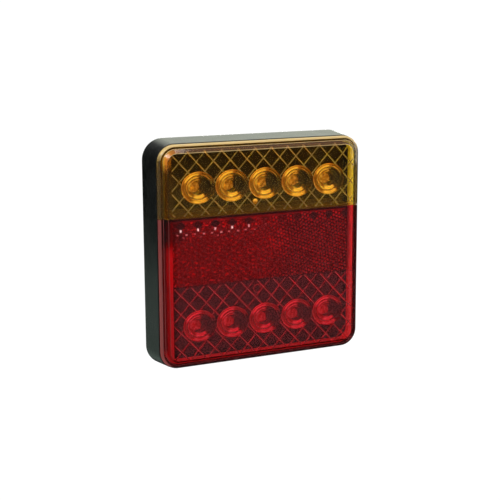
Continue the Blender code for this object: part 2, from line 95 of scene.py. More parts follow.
BOARD_BACK, BOARD_FRONT = 6.8, 8.4
PART_D = BOARD_FRONT + 0.3                   # where diodes and screw heads sit
SCREW_POS = [(x, z) for z in (9.0, -8.0) for x in (-38.0, 38.0)]
CORNER_POS = [(x, z) for z in (38.0, -38.0) for x in (-38.0, 38.0)]

STUD_X, STUD_OUT, STUD_R, NUT_AF = 25.0, 18.0, 2.5, 8.0
NUT_CORNER = NUT_AF / 2 / math.cos(math.radians(30))
CABLE_Z, CABLE_R = -14.0, 3.0
CABLE_OUT, CABLE_END_Z = 26.0, -40.0         # the cable turns down here and ends there

# Collimator rings sit off the diode axis and are a little flattened.
OPTIC_DX, OPTIC_DZ, OPTIC_FLAT = 1.1, -0.25, 0.885
GATE = (-3.7, 22.4)                          # x, z of the moulding pip on the amber lens


# ---- outlines --------------------------------------------------------------
def shrink(size, inset, depth):
    """Section of a (width, height, radius) outline drawn in by inset."""
    width, height, radius = size
    return (width - 2 * inset, height - 2 * inset, radius - inset, depth)


def taper_size(depth):
    """Outer width, height and corner radius of the lamp at a depth."""
    t = depth / FLANGE_D
    return tuple(back + (front - back) * t for back, front in zip((BACK_W, BACK_H, BACK_R), FRONT))


def rod(radius, start, end):
    """Lathe profile of a plain cylinder."""
    return [(0, start), (radius, start), (radius, end), (0, end)]


# ---- node building -----------------------------------------------------------
def operation(kind, swap=False):
    """A method that adds one Math node; swap puts the other operand first."""
    def build(self, *others):
        operands = (self, *others)
        return self.nodes.math(kind, *(operands[::-1] if swap else operands))
    return build


class Value:
    """A shader socket that can be used in sums."""

    def __init__(self, nodes, socket):
        self.nodes, self.socket = nodes, socket

    __add__ = operation("ADD")
    __radd__ = operation("ADD", swap=True)
    __sub__ = operation("SUBTRACT")
    __rsub__ = operation("SUBTRACT", swap=True)
    __mul__ = operation("MULTIPLY")
    __truediv__ = operation("DIVIDE")
    __mod__ = operation("FLOORED_MODULO")
    __abs__ = operation("ABSOLUTE")
    __lt__ = operation("LESS_THAN")
    __gt__ = operation("GREATER_THAN")
    maximum = operation("MAXIMUM")
    sqrt = operation("SQRT")
    sine = operation("SINE")
    cosine = operation("COSINE")
    fract = operation("FRACT")

    def clamped(self):
        """Keeps the result of the last operation between 0 and 1."""
        self.socket.node.use_clamp = True
        return self

    def ramp(self, first, last, kind="LINEAR"):
        """Goes from one (input, output) pair to the other, and is level beyond them."""
        node = self.nodes.add("ShaderNodeMapRange", Value=self,
                              From_Min=first[0], From_Max=last[0],
                              To_Min=first[1], To_Max=last[1])
        node.interpolation_type = kind
        return Value(self.nodes, node.outputs[0])

    def ease(self, first, last):
        """A ramp with soft ends."""
        return self.ramp(first, last, "SMOOTHSTEP")

    def spread(self, low, high):
        """Carries the usual range of a noise, 0.3 to 0.7, to low and high."""
        return self.ramp((0.3, low), (0.7, high))


class Nodes:
    """The node tree of a material or world, with short names for building it."""

    def __init__(self, owner, output="ShaderNodeOutputMaterial"):
        self.owner = owner
        owner.use_nodes = True
        self.tree = owner.node_tree
        self.tree.nodes.clear()
        self.output = self.tree.nodes.new(output)

    def feed(self, socket, value):
        if isinstance(value, Value):
            value = value.socket
        if isinstance(value, bpy.types.NodeSocket):
            self.tree.links.new(value, socket)
        else:
            socket.default_value = value

    def add(self, kind, **inputs):
        node = self.tree.nodes.new(kind)
        for key, value in inputs.items():
            self.feed(node.inputs[key.replace("_", " ")], value)
        return node

    def math(self, kind, *operands):
        node = self.add("ShaderNodeMath")
        node.operation = kind
        for socket, operand in zip(node.inputs, operands):
            self.feed(socket, operand)
        return Value(self, node.outputs[0])

    def vector_math(self, kind, vector):
        node = self.add("ShaderNodeVectorMath")
        node.operation = kind
        self.feed(node.inputs[0], vector)
        return node

    def split(self, vector):
        """The three parts of a vector."""
        return [Value(self, s) for s in self.add("ShaderNodeSeparateXYZ", Vector=vector).outputs]

    @cached_property
    def place(self):
        """Object position in mm."""
        metres = self.add("ShaderNodeTexCoord").outputs["Object"]
        node = self.vector_math("SCALE", metres)
        node.inputs["Scale"].default_value = 1000.0
        return node.outputs[0]

    @cached_property
    def axes(self):
        return self.split(self.place)

    def noise(self, scale, detail=3.0, rough=0.5, at=None):
        node = self.add("ShaderNodeTexNoise", Vector=self.place if at is None else at,
                        Scale=scale, Detail=detail, Roughness=rough)
        return Value(self, node.outputs["Fac"])

    def mix(self, amount, first, second):
        """Mixes two colours, each a socket or (r, g, b)."""
        node = self.add("ShaderNodeMix")
        node.data_type = "RGBA"
        self.feed(node.inputs[0], amount)
        for index, colour in ((6, first), (7, second)):
            self.feed(node.inputs[index], (*colour, 1.0) if isinstance(colour, tuple) else colour)
        return node.outputs[2]

    def bump(self, height, strength, distance=0.0001):
        node = self.add("ShaderNodeBump", Height=height, Strength=strength, Distance=distance)
        return node.outputs[0]

    def shader(self, kind, **inputs):
        return self.add(kind, **inputs).outputs[0]

    def principled(self, **inputs):
        return self.shader("ShaderNodeBsdfPrincipled", **inputs)

    def blend(self, amount, first, second):
        """Mixes two shaders."""
        node = self.add("ShaderNodeMixShader")
        for socket, value in zip(node.inputs, (amount, first, second)):
            self.feed(socket, value)
        return node.outputs[0]

    def finish(self, shader):
        self.feed(self.output.inputs["Surface"], shader)
        return self.owner


def material_nodes(name):
    return Nodes(bpy.data.materials.new(name))


def distance(a, b):
    return (a * a + b * b).sqrt()


def from_nearest(value, shift, pitch):
    """Signed distance from the nearest of a row of centres that are a pitch apart."""
    return (value + shift) % pitch - pitch / 2


# ---- kinds of material -------------------------------------------------------
def solid(name, colour, rough, metallic=0.0, vary=0.25, grain=6.0, bump=0.15,
          rough_vary=0.12, second=None, patch=0.35):
    """Plastic, rubber or metal: mottled colour, uneven gloss and a fine grain."""
    n = material_nodes(name)
    broad = n.noise(patch, detail=2.0)
    fine = n.noise(grain, rough=0.6)
    dark = tuple(c * (1 - vary) for c in colour)
    light = second or tuple(min(1.0, c * (1 + vary) + 0.002) for c in colour)
    gloss = (broad.spread(rough - rough_vary / 2, rough + rough_vary / 2)
             + fine.spread(-rough_vary / 3, rough_vary / 3))
    return n.finish(n.principled(
        Base_Color=n.mix(broad.spread(0.0, 1.0), dark, light), Roughness=gloss,
        Metallic=metallic, Normal=n.bump(fine, bump), Coat_Roughness=0.08))


def clear(name, tint, glow, glow_colour, rough=0.03, mask=None, ior=1.49, hot=None, dark=None):
    """Tinted clear plastic. Camera rays bend; light reaches the inside straight.

    glow mixes in a diffuse and translucent layer; where mask(nodes, glow) spreads it, it is
    painted light standing for the light that an edge or a prism scatters, and where it is
    strongest its colour goes over to hot, a painted highlight.  dark(nodes) is painted shade:
    how far each place that no light is piped to goes black.
    """
    n = material_nodes(name)
    fine = n.noise(1.1, detail=2.0)
    tone = n.mix(fine.spread(0.0, 1.0), tuple(c * 0.93 for c in tint), tint)
    shader = n.principled(Base_Color=tone, Roughness=rough, IOR=ior, Transmission_Weight=1.0,
                          Normal=n.bump(fine, strength=0.02, distance=0.0002))
    if mask:
        amount = mask(n, glow)
    else:
        amount = glow + fine.ramp((0.35, 0.0), (0.8, 0.003))
    if hot:
        painted_glow_colour = n.mix(amount.ramp((0.30, 0.0), (0.75, 1.0)), glow_colour, hot)
    else:
        painted_glow_colour = (*glow_colour, 1.0)
    # painted light: a diffuse and translucent layer mixed over the clear plastic as far as amount
    # says
    painted_light = n.blend(0.55, n.shader("ShaderNodeBsdfDiffuse", Color=painted_glow_colour),
                   n.shader("ShaderNodeBsdfTranslucent", Color=painted_glow_colour))
    shader = n.blend(amount, shader, painted_light)
    # painted shade: a black diffuse layer mixed in as far as dark(nodes) says
    if dark:
        black = n.shader("ShaderNodeBsdfDiffuse", Color=(0.004, 0.003, 0.003, 1.0))
        shader = n.blend(dark(n), shader, black)
    ray = n.add("ShaderNodeLightPath").outputs
    straight = n.math("MAXIMUM", ray["Is Shadow Ray"], ray["Is Diffuse Ray"])
    half_tint = tuple(math.sqrt(c) for c in tint)
    passing = n.shader("ShaderNodeBsdfTransparent", Color=(*half_tint, 1.0))
    return n.finish(n.blend(straight, shader, passing))


# ---- painted glow and painted shade on the lenses ----------------------------
# Numbers in ramps are (place in mm, or level) and (share of the painted glow) pairs.
def optic_x(n):
    """Distance in x from the centre of the nearest collimator."""
    return from_nearest(n.axes[0], 2.5 * LED_PITCH - OPTIC_DX, LED_PITCH)


def ring_mask(row_z):
    """Painted light on a collimator ring, on its left and lower sides; the far side gets none."""
    def build(n, glow):
        x, _, z = n.axes
        across = optic_x(n)
        above = (z - (row_z + OPTIC_DZ)) / OPTIC_FLAT
        r = distance(across, above)
        cosine, sine = across / (r + 0.01), above / (r + 0.01)

        def band(radius, half_width):
            return ((1.0 - abs(r - radius) / half_width) * 2.0).clamped()

        upper = sine.ramp((-0.15, 0.0), (0.15, 1.0))
        up_open = cosine.ease((0.0, 1.0), (0.34, 0.0))
        low_open = cosine.ease((0.48, 1.0), (0.72, 0.0))
        open_side = up_open * upper + low_open * (1.0 - upper)
        up = sine.ease((0.30, 0.0), (0.72, 1.0)) * cosine.ease((-0.12, 1.0), (0.18, 0.0))
        down = (cosine * 0.30 - sine * 0.954).ease((0.68, 0.0), (0.93, 1.0))

        outer = band(6.95, 1.15) * (open_side * 0.26 + sine.ease((0.12, 0.0), (0.5, 0.17)))
        inner = band(4.6, 1.1) * (open_side * 0.26)
        crest = (band(6.40, 0.34) + band(4.85, 0.30)) * (up * 0.95)
        low = (band(4.7, 0.80) * 0.75 + band(6.9, 0.62) * 0.60) * (down * low_open)
        # painted light on the dome in the middle, broken up as if faceted
        facets = n.noise(0.75, detail=2.0, rough=0.6).ramp((0.35, 0.17), (0.65, 0.44))
        disc = distance(across + 1.9, above - 0.4).ease((2.3, 1.0), (2.9, 0.0)) * facets
        total = (outer + inner) + ((crest + low) + disc)
        if row_z > 0:                        # painted highlight on the gate pip, most at its top
            near = distance(x - GATE[0], z - GATE[1]).ramp((1.0, 1.0), (1.4, 0.0))
            total = total.maximum(near * z.ramp((21.7, 0.28), (23.0, 0.80)))
        return ((total + 0.015) * glow).clamped()
    return build


def hole_shade(row_z, most):
    """Painted shade: the dark hollow to the right of each dome."""
    def build(n):
        across = (optic_x(n) - 3.9) / 3.9
        above = (n.axes[2] - (row_z + OPTIC_DZ + 0.8)) / 3.6
        return distance(across, above).ease((0.55, most), (1.05, 0.0))
    return build


def side_of(n, left=0.0, right=0.0, top=0.0, bottom=0.0, start=40.0, end=44.0):
    """The weights of the four sides of the square, coming in from start to end."""
    x, _, z = n.axes
    on_left = x.ramp((-start, 0.0), (-end, 1.0)) * left
    on_right = x.ramp((start, 0.0), (end, 1.0)) * right
    on_top = z.ramp((start, 0.0), (end, 1.0)) * top
    on_bottom = z.ramp((-start, 0.0), (-end, 1.0)) * bottom
    return (on_left.maximum(on_right) + on_top.maximum(on_bottom)).clamped()


def corner_glow(n, near=1.5, far=7.0):
    """Painted glow at the upper left corner: 1 there, fading out with distance."""
    x, _, z = n.axes
    return distance(x + 44.0, z - 43.5).ease((near, 1.0), (far, 0.0))


def skirt_mask(red):
    """Painted glow on the skirt: on the right-hand and lower sides, and on the left of the red
    half.
    """
    def build(n, glow):
        if red:
            left = n.axes[2].ease((9.0, 0.02), (1.0, 0.22))
        else:
            left = corner_glow(n) * 0.6 + 0.06
        uneven = n.noise(0.16, detail=2.0).spread(0.72, 1.05)
        return side_of(n, left=left, right=1.0, top=0.03, bottom=0.75) * uneven * glow
    return build


def margin_mask(red):
    """Painted glow on the plain strip inside the left edge of the face, which the ridges stop
    short of.
    """
    def build(n, glow):
        x, _, z = n.axes
        strip = x.ease((-43.0, 1.0), (-42.5, 0.0))
        along = z.ease((9.0, 0.02), (1.0, 1.0)) if red else corner_glow(n) * 0.8 + 0.05
        return strip * along * glow
    return build


def step_mask(red):
    """Painted light on the slope between flange and face: dim, but bright at the upper left of the
    amber one.
    """
    def build(n, glow):
        if red:
            return side_of(n, left=n.axes[2].ramp((12.0, 0.02), (2.0, 0.05))) * glow
        corner = corner_glow(n, near=1.0, far=7.5) * 0.7
        return (corner + side_of(n, left=0.05, top=0.14)) * glow
    return build


def edge_mask(top, left, right, bottom):
    """Painted highlights on the rounded edges, along the top and the left."""
    def build(n, glow):
        return side_of(n, left, right, top, bottom, start=42.0, end=46.0) * glow
    return build


def front_painted_sheen(n, glow):
    """Painted sheen on the front face: less along the top, and more in the right-hand strip, where
    it adds painted light.
    """
    x, y, z = n.axes
    amount = (n.noise(0.14, detail=2.0).spread(0.8, 1.2)
              * z.ramp((27.0, glow), (38.0, glow * 0.40)))
    return (y < -16.0) * (amount + x.ramp((42.3, 0.0), (43.3, 0.085)))


def dark_corner(left, bottom, edge=0.0):
    """Painted shade: the red half is dark on the left just under the colour split; bottom dims its
    foot.
    """
    def build(n):
        x, _, z = n.axes
        corner = (x < -38.0) * z.ease((4.0, edge), (9.0, left))
        return corner.maximum(z.ramp((-44.0, 0.0), (-45.5, bottom)))
    return build


def ridge_mask(n, glow):
    """Painted light on both sets of ridges, one of them a touch less."""
    across, _, upward = n.split(n.add("ShaderNodeTexCoord").outputs["Normal"])
    falling = abs(across + upward) > abs(across - upward)
    uneven = n.noise(0.22, detail=2.0).spread(0.7, 1.15)
    return (1.0 - falling * 0.06) * uneven * glow


# Painted glints of one 8 mm repeat: x and z from its centre, half width, half height, power.
GLINTS = (
    (0.0, 0.0, 0.62, 0.95, 1.0), (-1.5, -1.6, 0.78, 0.50, 0.62), (2.75, -1.7, 0.78, 0.50, 0.62),
    (1.2, -3.0, 0.62, 0.48, 0.36), (-0.6, 2.6, 0.5, 0.4, 0.0),
)
GLINT_PITCH, GLINT_Z = 8.0, 12.0
# strength of the painted red sheen on the front face
RED_PAINTED_SHEEN = 0.062


def glint_mask(n, glow):
    """A row of painted glints along the top of the reflector, fading to the right, over a painted
    sheen.
    """
    x, y, z = n.axes
    across = from_nearest(x, 43.4, GLINT_PITCH)
    spots = None
    for glint_x, glint_z, half_width, half_height, power in GLINTS:
        beside, above = across - glint_x, z - (GLINT_Z + glint_z)
        reach = ((abs(beside) / half_width).maximum(abs(above) / half_height)
                 + n.noise(1.6, detail=1.0).spread(-0.15, 0.2))
        spot = reach.ease((0.35, 1.0), (1.0, 0.0)) * power
        spots = spot if spots is None else spots.maximum(spot)
    fade = x.ease((-12.0, 1.0), (4.0, 0.0))
    broken = n.noise(0.35, detail=1.0).ramp((0.35, 0.6), (0.6, 1.0))
    amount = spots * fade * ((y < -17.4) * (x > -42.0)) * (broken * glow)

    # painted red sheen: outside the reflector field, then inside it, then painted light at the
    # right-hand edge
    field = abs(z - 1.7)
    painted_light = field.ramp((13.7, 0.0), (14.7, RED_PAINTED_SHEEN)) * z.ramp((0.0, 1.0), (8.0, 0.45))
    painted_light = painted_light + field.ramp((13.7, 1.0), (14.7, 0.0)) * x.ramp((-6.0, 0.030), (22.0, 0.040))
    painted_light = painted_light * x.ramp((-42.5, 0.45), (-41.0, 1.0))
    painted_light = painted_light + x.ramp((42.0, 0.0), (43.5, 0.06)) * x.ramp((46.0, 1.0), (46.6, 0.2))
    painted_light = painted_light * x.ramp((46.0, 1.0), (46.6, 0.4))
    return amount + (y < -16.0) * painted_light


def cell_rows(n):
    """Three crossed waves make the rows of cells: 1 mid-cell, -0.5 between cells."""
    x, _, z = n.axes
    density = 4.4                            # radians per mm
    waves = []
    for degrees in (8.0, 68.0, 128.0):
        a = math.radians(degrees)
        waves.append((x * (math.cos(a) * density) + z * (math.sin(a) * density)).cosine())
    return (waves[0] + waves[1] + waves[2]) / 3.0


def notch_shade(n):
    """Painted shade in a row of diamond-shaped patches along the reflector's top edge, weaker in
    the middle of the row.
    """
    x, _, z = n.axes
    across = from_nearest(x, 42.7, GLINT_PITCH)
    reach = abs(across) / 2.7 + abs(z - 14.0) / 2.4
    there = abs(x - 6.0).ramp((6.0, 0.45), (16.0, 1.0))
    return reach.ease((0.75, 1.0), (1.05, 0.0)) * there


def right_part(n):
    """0 in the left half of the reflector, 1 in the right."""
    return n.axes[0].ease((-2.0, 0.0), (16.0, 1.0))


def reflex_shade(n):
    """Painted shade in the gaps between cells, most on the right, and in a row of diamond-shaped
    patches along the top edge.
    """
    between = cell_rows(n).ramp((0.25, 0.0), (-0.4, 0.75)) * (right_part(n) * 0.80 + 0.25)
    return between.maximum(notch_shade(n) * 0.85) * (n.axes[1] < -(INNER_D - 0.4))


def reflex_mask(n, glow):
    """Painted flashes of the prisms: at random, and more in one patch near the middle."""
    x, y, z = n.axes
    flat = n.vector_math("MULTIPLY", n.place)
    flat.inputs[1].default_value = (0.62, 1.0, 1.15)
    # the cells, specks and rows below all shape painted light: the prisms' flashes
    cell = n.noise(0.95, 2.0, 0.65, at=flat.outputs[0]).ramp((0.38, 0.0), (0.64, 1.0))
    flash_speck = n.noise(1.25, detail=1.0, at=flat.outputs[0]).ease((0.60, 0.0), (0.70, 1.0))
    right = right_part(n)
    side = x.ease((4.0, 1.0), (22.0, 1.25))
    patch = distance(x - 7.5, z - 3.5).ease((2.0, 1.1), (9.0, 0.0))
    rows = cell_rows(n) * (right * 1.3 + 0.35) + 0.9
    grain = cell * (1.0 - right * 0.55) + (right * 0.25 + 0.20)
    body = (side + patch) * rows * grain + flash_speck * (2.2 - right * 1.4)
    bright = z.ramp((11.3, 1.0), (13.0, 1.8)) * (1.0 - notch_shade(n))
    front = y.ramp((-(INNER_D - 0.5), 0.15), (-(INNER_D - 0.4), 1.0))
    return ((body * bright).maximum(0.0) * (front * glow)).clamped()


# ---- solid materials -----------------------------------------------------------
housing_mat = solid("housing_black", (0.0030, 0.0036, 0.0033), rough=0.20, vary=0.3, grain=9.0,
                    bump=0.06, rough_vary=0.06, patch=0.12)
sealant_mat = solid("sealant", (0.02, 0.02, 0.022), rough=0.55, vary=0.3, grain=2.0, bump=0.3)
backing_mat = solid("backing_grey", (0.055, 0.055, 0.055), rough=0.5, vary=0.12, grain=5.0)
divider_mat = solid("divider_black", (0.010, 0.009, 0.010), rough=0.6, vary=0.3)
rubber_mat = solid("rubber_black", (0.014, 0.014, 0.0145), rough=0.62, vary=0.35, grain=5.0,
                   bump=0.3, second=(0.026, 0.026, 0.027))
cable_mat = solid("cable_black", (0.015, 0.015, 0.016), rough=0.46, vary=0.3, grain=3.0,
                  bump=0.25, rough_vary=0.16)
zinc_mat = solid("zinc_steel", (0.62, 0.62, 0.64), rough=0.27, metallic=1.0, vary=0.12,
                 grain=3.0, bump=0.08, rough_vary=0.18, second=(0.70, 0.68, 0.62), patch=0.5)
zinc_dark = solid("zinc_thread", (0.50, 0.50, 0.52), rough=0.34, metallic=1.0, vary=0.15,
                  grain=4.0, bump=0.1, rough_vary=0.2)
screw_mat = solid("screw_steel", (0.42, 0.42, 0.43), rough=0.33, metallic=1.0, vary=0.15,
                  grain=4.0)
copper_mat = solid("copper_strand", (0.80, 0.36, 0.18), rough=0.3, metallic=1.0, vary=0.12,
                   grain=4.0, bump=0.2)
solder_mat = solid("solder", (0.66, 0.66, 0.67), rough=0.22, metallic=1.0, vary=0.1, grain=3.0)
lead_metal = solid("lead_frame", (0.78, 0.74, 0.66), rough=0.2, metallic=1.0, vary=0.08)
die_amber = solid("die_amber", (0.85, 0.55, 0.06), rough=0.4, vary=0.1, grain=30.0)
die_red = solid("die_red", (0.80, 0.10, 0.05), rough=0.4, vary=0.1, grain=30.0)
filler_mat = solid("cable_filler", (0.55, 0.54, 0.50), rough=0.7, vary=0.15)
WIRES = {
    wire: solid(f"wire_{wire}", colour, rough=0.38, vary=vary, grain=3.0)
    for wire, colour, vary in (
        ("white", (0.80, 0.80, 0.78), 0.05), ("red", (0.62, 0.022, 0.022), 0.12),
        ("brown", (0.155, 0.058, 0.025), 0.15), ("yellow", (0.82, 0.58, 0.035), 0.08),
    )
}


def board_material():
    """Black solder mask with the tracks showing faintly and a woven grain."""
    n = material_nodes("board_black")
    x, _, z = n.axes
    weave = (x * 9.0).sine() + (z * 9.0).sine()
    tracks = abs((z / 6.1).fract() - 0.5) < 0.13
    tracks = tracks.maximum(abs((x / LED_PITCH).fract() - 0.5) < 0.05)
    base = n.mix(tracks, (0.0030, 0.0036, 0.0034), (0.0060, 0.0072, 0.0064))
    normal = n.bump(weave * 0.06 + tracks, strength=0.35, distance=0.00004)
    return n.finish(n.principled(Base_Color=base, Roughness=0.42, Normal=normal,
                                 Specular_IOR_Level=0.15))


def banded(name, body, bands, pitch):
    """Barrel parts a pitch apart with bands round them: (offset from the middle, colour)."""
    n = material_nodes(name)
    local = from_nearest(n.axes[0], pitch / 2, pitch)
    colour = n.mix(n.noise(3.0).spread(0.0, 1.0), tuple(c * 0.9 for c in body), body)
    for offset, band in bands:
        colour = n.mix(abs(local - offset) < 0.28, colour, band)
    normal = n.bump(n.noise(6.0), strength=0.1)
    return n.finish(n.principled(Base_Color=colour, Roughness=0.42, Normal=normal))


board_mat = board_material()
resistor_mat = banded("resistor_body", (0.20, 0.33, 0.44), pitch=12.0, bands=[
    (-1.9, (0.45, 0.12, 0.02)), (-0.9, (0.03, 0.03, 0.03)),
    (0.1, (0.02, 0.02, 0.02)), (1.9, (0.45, 0.22, 0.04))])
diode_mat = banded("diode_body", (0.022, 0.022, 0.024), pitch=18.0, bands=[
    (1.5, (0.6, 0.6, 0.6)), (1.25, (0.6, 0.6, 0.6))])

# ---- clear materials -----------------------------------------------------------
# Slots of both lenses, in the order of the two lists below.
LENS, OPTIC, RIDGE, SKIRT, STEP, EDGE, MARGIN = range(7)
AMBER, RED = (0.95, 0.56, 0.035), (0.86, 0.016, 0.030)

# In both lists, the glow a mask spreads is painted light, dark layers are painted shade, and hot
# colours above 1 are painted highlights.
amber_mats = [
    clear("amber_lens", AMBER, glow=0.033, glow_colour=(1.0, 0.66, 0.19), mask=front_painted_sheen),
    clear("amber_optic", (0.40, 0.22, 0.03), glow=1.0, glow_colour=(0.98, 0.46, 0.20),
          mask=ring_mask(AMBER_Z), hot=(1.6, 1.40, 1.5), dark=hole_shade(AMBER_Z, most=0.75)),
    clear("amber_ridge", (0.90, 0.62, 0.20), glow=0.29, glow_colour=(0.52, 0.54, 1.3),
          mask=ridge_mask),
    clear("amber_skirt", (0.60, 0.30, 0.02), glow=0.95, glow_colour=(0.88, 1.0, 1.0),
          rough=0.12, mask=skirt_mask(red=False), hot=(1.15, 1.9, 2.6)),
    clear("amber_step", AMBER, glow=0.55, glow_colour=(0.98, 0.34, 0.05), rough=0.06,
          mask=step_mask(red=False)),
    clear("amber_edge", (0.10, 0.045, 0.006), glow=0.66, glow_colour=(1.03, 0.75, 0.32),
          rough=0.05, mask=edge_mask(top=1.0, left=0.09, right=0.03, bottom=0.02)),
    clear("amber_inner", AMBER, glow=0.35, glow_colour=(0.98, 0.42, 0.08),
          mask=margin_mask(red=False)),
]
red_mats = [
    clear("red_lens", RED, glow=0.75, glow_colour=(1.0, 0.22, 0.24), mask=glint_mask,
          hot=(1.1, 0.86, 0.84)),
    clear("red_optic", (0.30, 0.01, 0.012), glow=1.0, glow_colour=(1.0, 0.17, 0.15),
          mask=ring_mask(RED_Z), hot=(1.2, 1.2, 1.25), dark=hole_shade(RED_Z, most=0.6)),
    clear("red_ridge", (0.80, 0.06, 0.07), glow=0.19, glow_colour=(0.95, 0.50, 0.46),
          mask=ridge_mask),
    clear("red_skirt", (0.45, 0.01, 0.015), glow=0.95, glow_colour=(1.25, 0.60, 0.60),
          rough=0.12, mask=skirt_mask(red=True), dark=dark_corner(left=0.7, bottom=0.0)),
    clear("red_step", RED, glow=0.30, glow_colour=(0.70, 0.07, 0.07), rough=0.06,
          mask=step_mask(red=True), dark=dark_corner(left=0.6, bottom=0.45, edge=0.45)),
    clear("red_edge", (0.08, 0.004, 0.005), glow=0.55, glow_colour=(0.68, 0.18, 0.17),
          rough=0.05, mask=edge_mask(top=0.8, left=0.58, right=0.12, bottom=0.03)),
    clear("red_inner", RED, glow=0.46, glow_colour=(0.98, 0.24, 0.24),
          mask=margin_mask(red=True), dark=dark_corner(left=0.6, bottom=0.0)),
]
# painted flashes and painted shade on the reflector; its rim carries an even painted glow
reflex_mat = clear("reflex_red", (0.80, 0.04, 0.06), glow=0.14, glow_colour=(0.95, 0.30, 0.30),
                   rough=0.04, mask=reflex_mask, dark=reflex_shade)
reflex_rim = clear("reflex_rim", (0.60, 0.03, 0.05), glow=0.30, glow_colour=(0.98, 0.50, 0.50),
                   rough=0.08)
epoxy_amber = clear("led_epoxy", (0.98, 0.96, 0.90), glow=0.04, glow_colour=(0.9, 0.85, 0.7),
                    ior=1.53)
epoxy_red = clear("led_epoxy_red", (0.98, 0.88, 0.86), glow=0.04, glow_colour=(0.9, 0.6, 0.55),
                  ior=1.53)


# ---- mesh helpers ----------------------------------------------------------------
def shade(obj, angle):
    """Smooth shading with edges sharper than angle, in degrees, left hard."""
    obj.data.shade_smooth()
    obj.data.set_sharp_from_angle(angle=math.radians(angle))


def to_object(name, bm, mats=(), smooth=30, recalc=True):
    if recalc:
        bmesh.ops.recalc_face_normals(bm, faces=bm.faces)
    mesh = bpy.data.meshes.new(name)
    bm.to_mesh(mesh)
    bm.free()
    obj = bpy.data.objects.new(name, mesh)
    bpy.context.scene.collection.objects.link(obj)
    if smooth is not None:
        shade(obj, smooth)
    for mat in mats:
        mesh.materials.append(mat)
    return obj


def set_materials(obj, *mats):
    obj.data.materials.clear()
    for mat in mats:
        obj.data.materials.append(mat)


def discard(obj):
    data = obj.data
    bpy.data.objects.remove(obj, do_unlink=True)
    if data.users == 0:
        bpy.data.meshes.remove(data)


def skin(name, rings, mats=(), smooth=30, closed=False, winding=-1):
    """A body through rings of points in metres; closed joins the last ring to the first.

    Otherwise both ends are capped, the first with the given winding.
    """
    bm = bmesh.new()
    rings = [[bm.verts.new(point) for point in ring] for ring in rings]
    count = len(rings[0])
    pairs = list(zip(rings, rings[1:]))
    if closed:
        pairs.append((rings[-1], rings[0]))
    for a, b in pairs:
        for k in range(count):
            j = (k + 1) % count
            bm.faces.new((a[k], a[j], b[j], b[k]))
    if not closed:
        bm.faces.new(rings[0][::winding])
        bm.faces.new(rings[-1][::-winding])
    return to_object(name, bm, mats, smooth)


def rounded(width, height, r, steps):
    """Points of a rounded rectangle in x and z."""
    right, top = width / 2 - r, height / 2 - r
    points = []
    for x, z, start in ((right, top, 0), (-width / 2 + r, top, 90),
                        (-width / 2 + r, -height / 2 + r, 180), (right, -height / 2 + r, 270)):
        for k in range(steps + 1):
            a = math.radians(start + 90 * k / steps)
            points.append((x + r * math.cos(a), z + r * math.sin(a)))
    return points


def loft(name, sections, mats=(), centre=(0.0, 0.0), closed=False, steps=12):
    """A body through rounded rectangles about centre, in x and z."""
    rings = [[((centre[0] + x) * MM, -depth * MM, (centre[1] + z) * MM)
              for x, z in rounded(width, height, radius, steps)]
             for width, height, radius, depth in sections]
    return skin(name, rings, mats, closed=closed, winding=1)


def corner_arc(before, corner, after, radius, steps, limit):
    """Arc that rounds a corner, using at most the share limit of either side."""
    u, v = (before - corner).normalized(), (after - corner).normalized()
    angle = u.angle(v)
    reach = min(radius / math.tan(angle / 2), (before - corner).length * limit,
                (after - corner).length * limit)
    radius = reach * math.tan(angle / 2)
    centre = corner + (u + v).normalized() * (radius / math.sin(angle / 2))
    s, e = corner + u * reach - centre, corner + v * reach - centre
    turn = s.angle(e)
    return [centre + (s * math.sin((1 - k / steps) * turn)
                      + e * math.sin(k / steps * turn)) / math.sin(turn)
            for k in range(steps + 1)]


def soften(profile, radii, steps):
    """Rounds the named corners {index: radius} of an open 2D profile."""
    out = []
    for i, point in enumerate(profile):
        if i in radii:
            near = [Vector(p) for p in profile[i - 1:i + 2]]
            out += corner_arc(*near, radii[i], steps, limit=0.48)
        else:
            out.append(point)
    return out


def bend(points, radius, steps):
    """Rounds every corner of a 3D polyline."""
    points = [Vector(p) for p in points]
    out = [points[0]]
    for a, b, c in zip(points, points[1:], points[2:]):
        if (a - b).normalized().angle((c - b).normalized()) > math.pi - 1e-3:
            out.append(b)
        else:
            out += corner_arc(a, b, c, radius, steps, limit=0.49)
    out.append(points[-1])
    return out


def refine(points, step):
    """The same polyline with points no farther apart than step."""
    out = [points[0]]
    for a, b in zip(points, points[1:]):
        count = max(1, math.ceil((b - a).length / step))
        out += [a.lerp(b, k / count) for k in range(1, count + 1)]
    return out


def lathe(name, profile, x=0.0, z=0.0, y=0.0, towards=1, sides=48, mats=(), smooth=30):
    """A body turned about a line parallel to Y; profile is (radius, distance from y)."""
    axis_r = 1e-6                            # radii up to this are one vertex on the axis
    turns = [2 * math.pi * k / sides for k in range(sides)]
    bm = bmesh.new()
    rings = []
    for r, along in profile:
        level = (y + towards * along) * MM
        if r <= axis_r:
            rings.append([bm.verts.new((x * MM, level, z * MM))])
        else:
            rings.append([bm.verts.new(((x + r * math.cos(a)) * MM, level,
                                        (z + r * math.sin(a)) * MM)) for a in turns])
    pairs = list(zip(rings, rings[1:]))
    if min(profile[0][0], profile[-1][0]) > axis_r:
        pairs.append((rings[-1], rings[0]))
    for lower, upper in pairs:
        for k in range(sides):
            j = (k + 1) % sides
            if len(lower) == 1:
                bm.faces.new((lower[0], upper[j], upper[k]))
            elif len(upper) == 1:
                bm.faces.new((lower[k], lower[j], upper[0]))
            else:
                bm.faces.new((lower[k], lower[j], upper[j], upper[k]))
    return to_object(name, bm, mats, smooth)


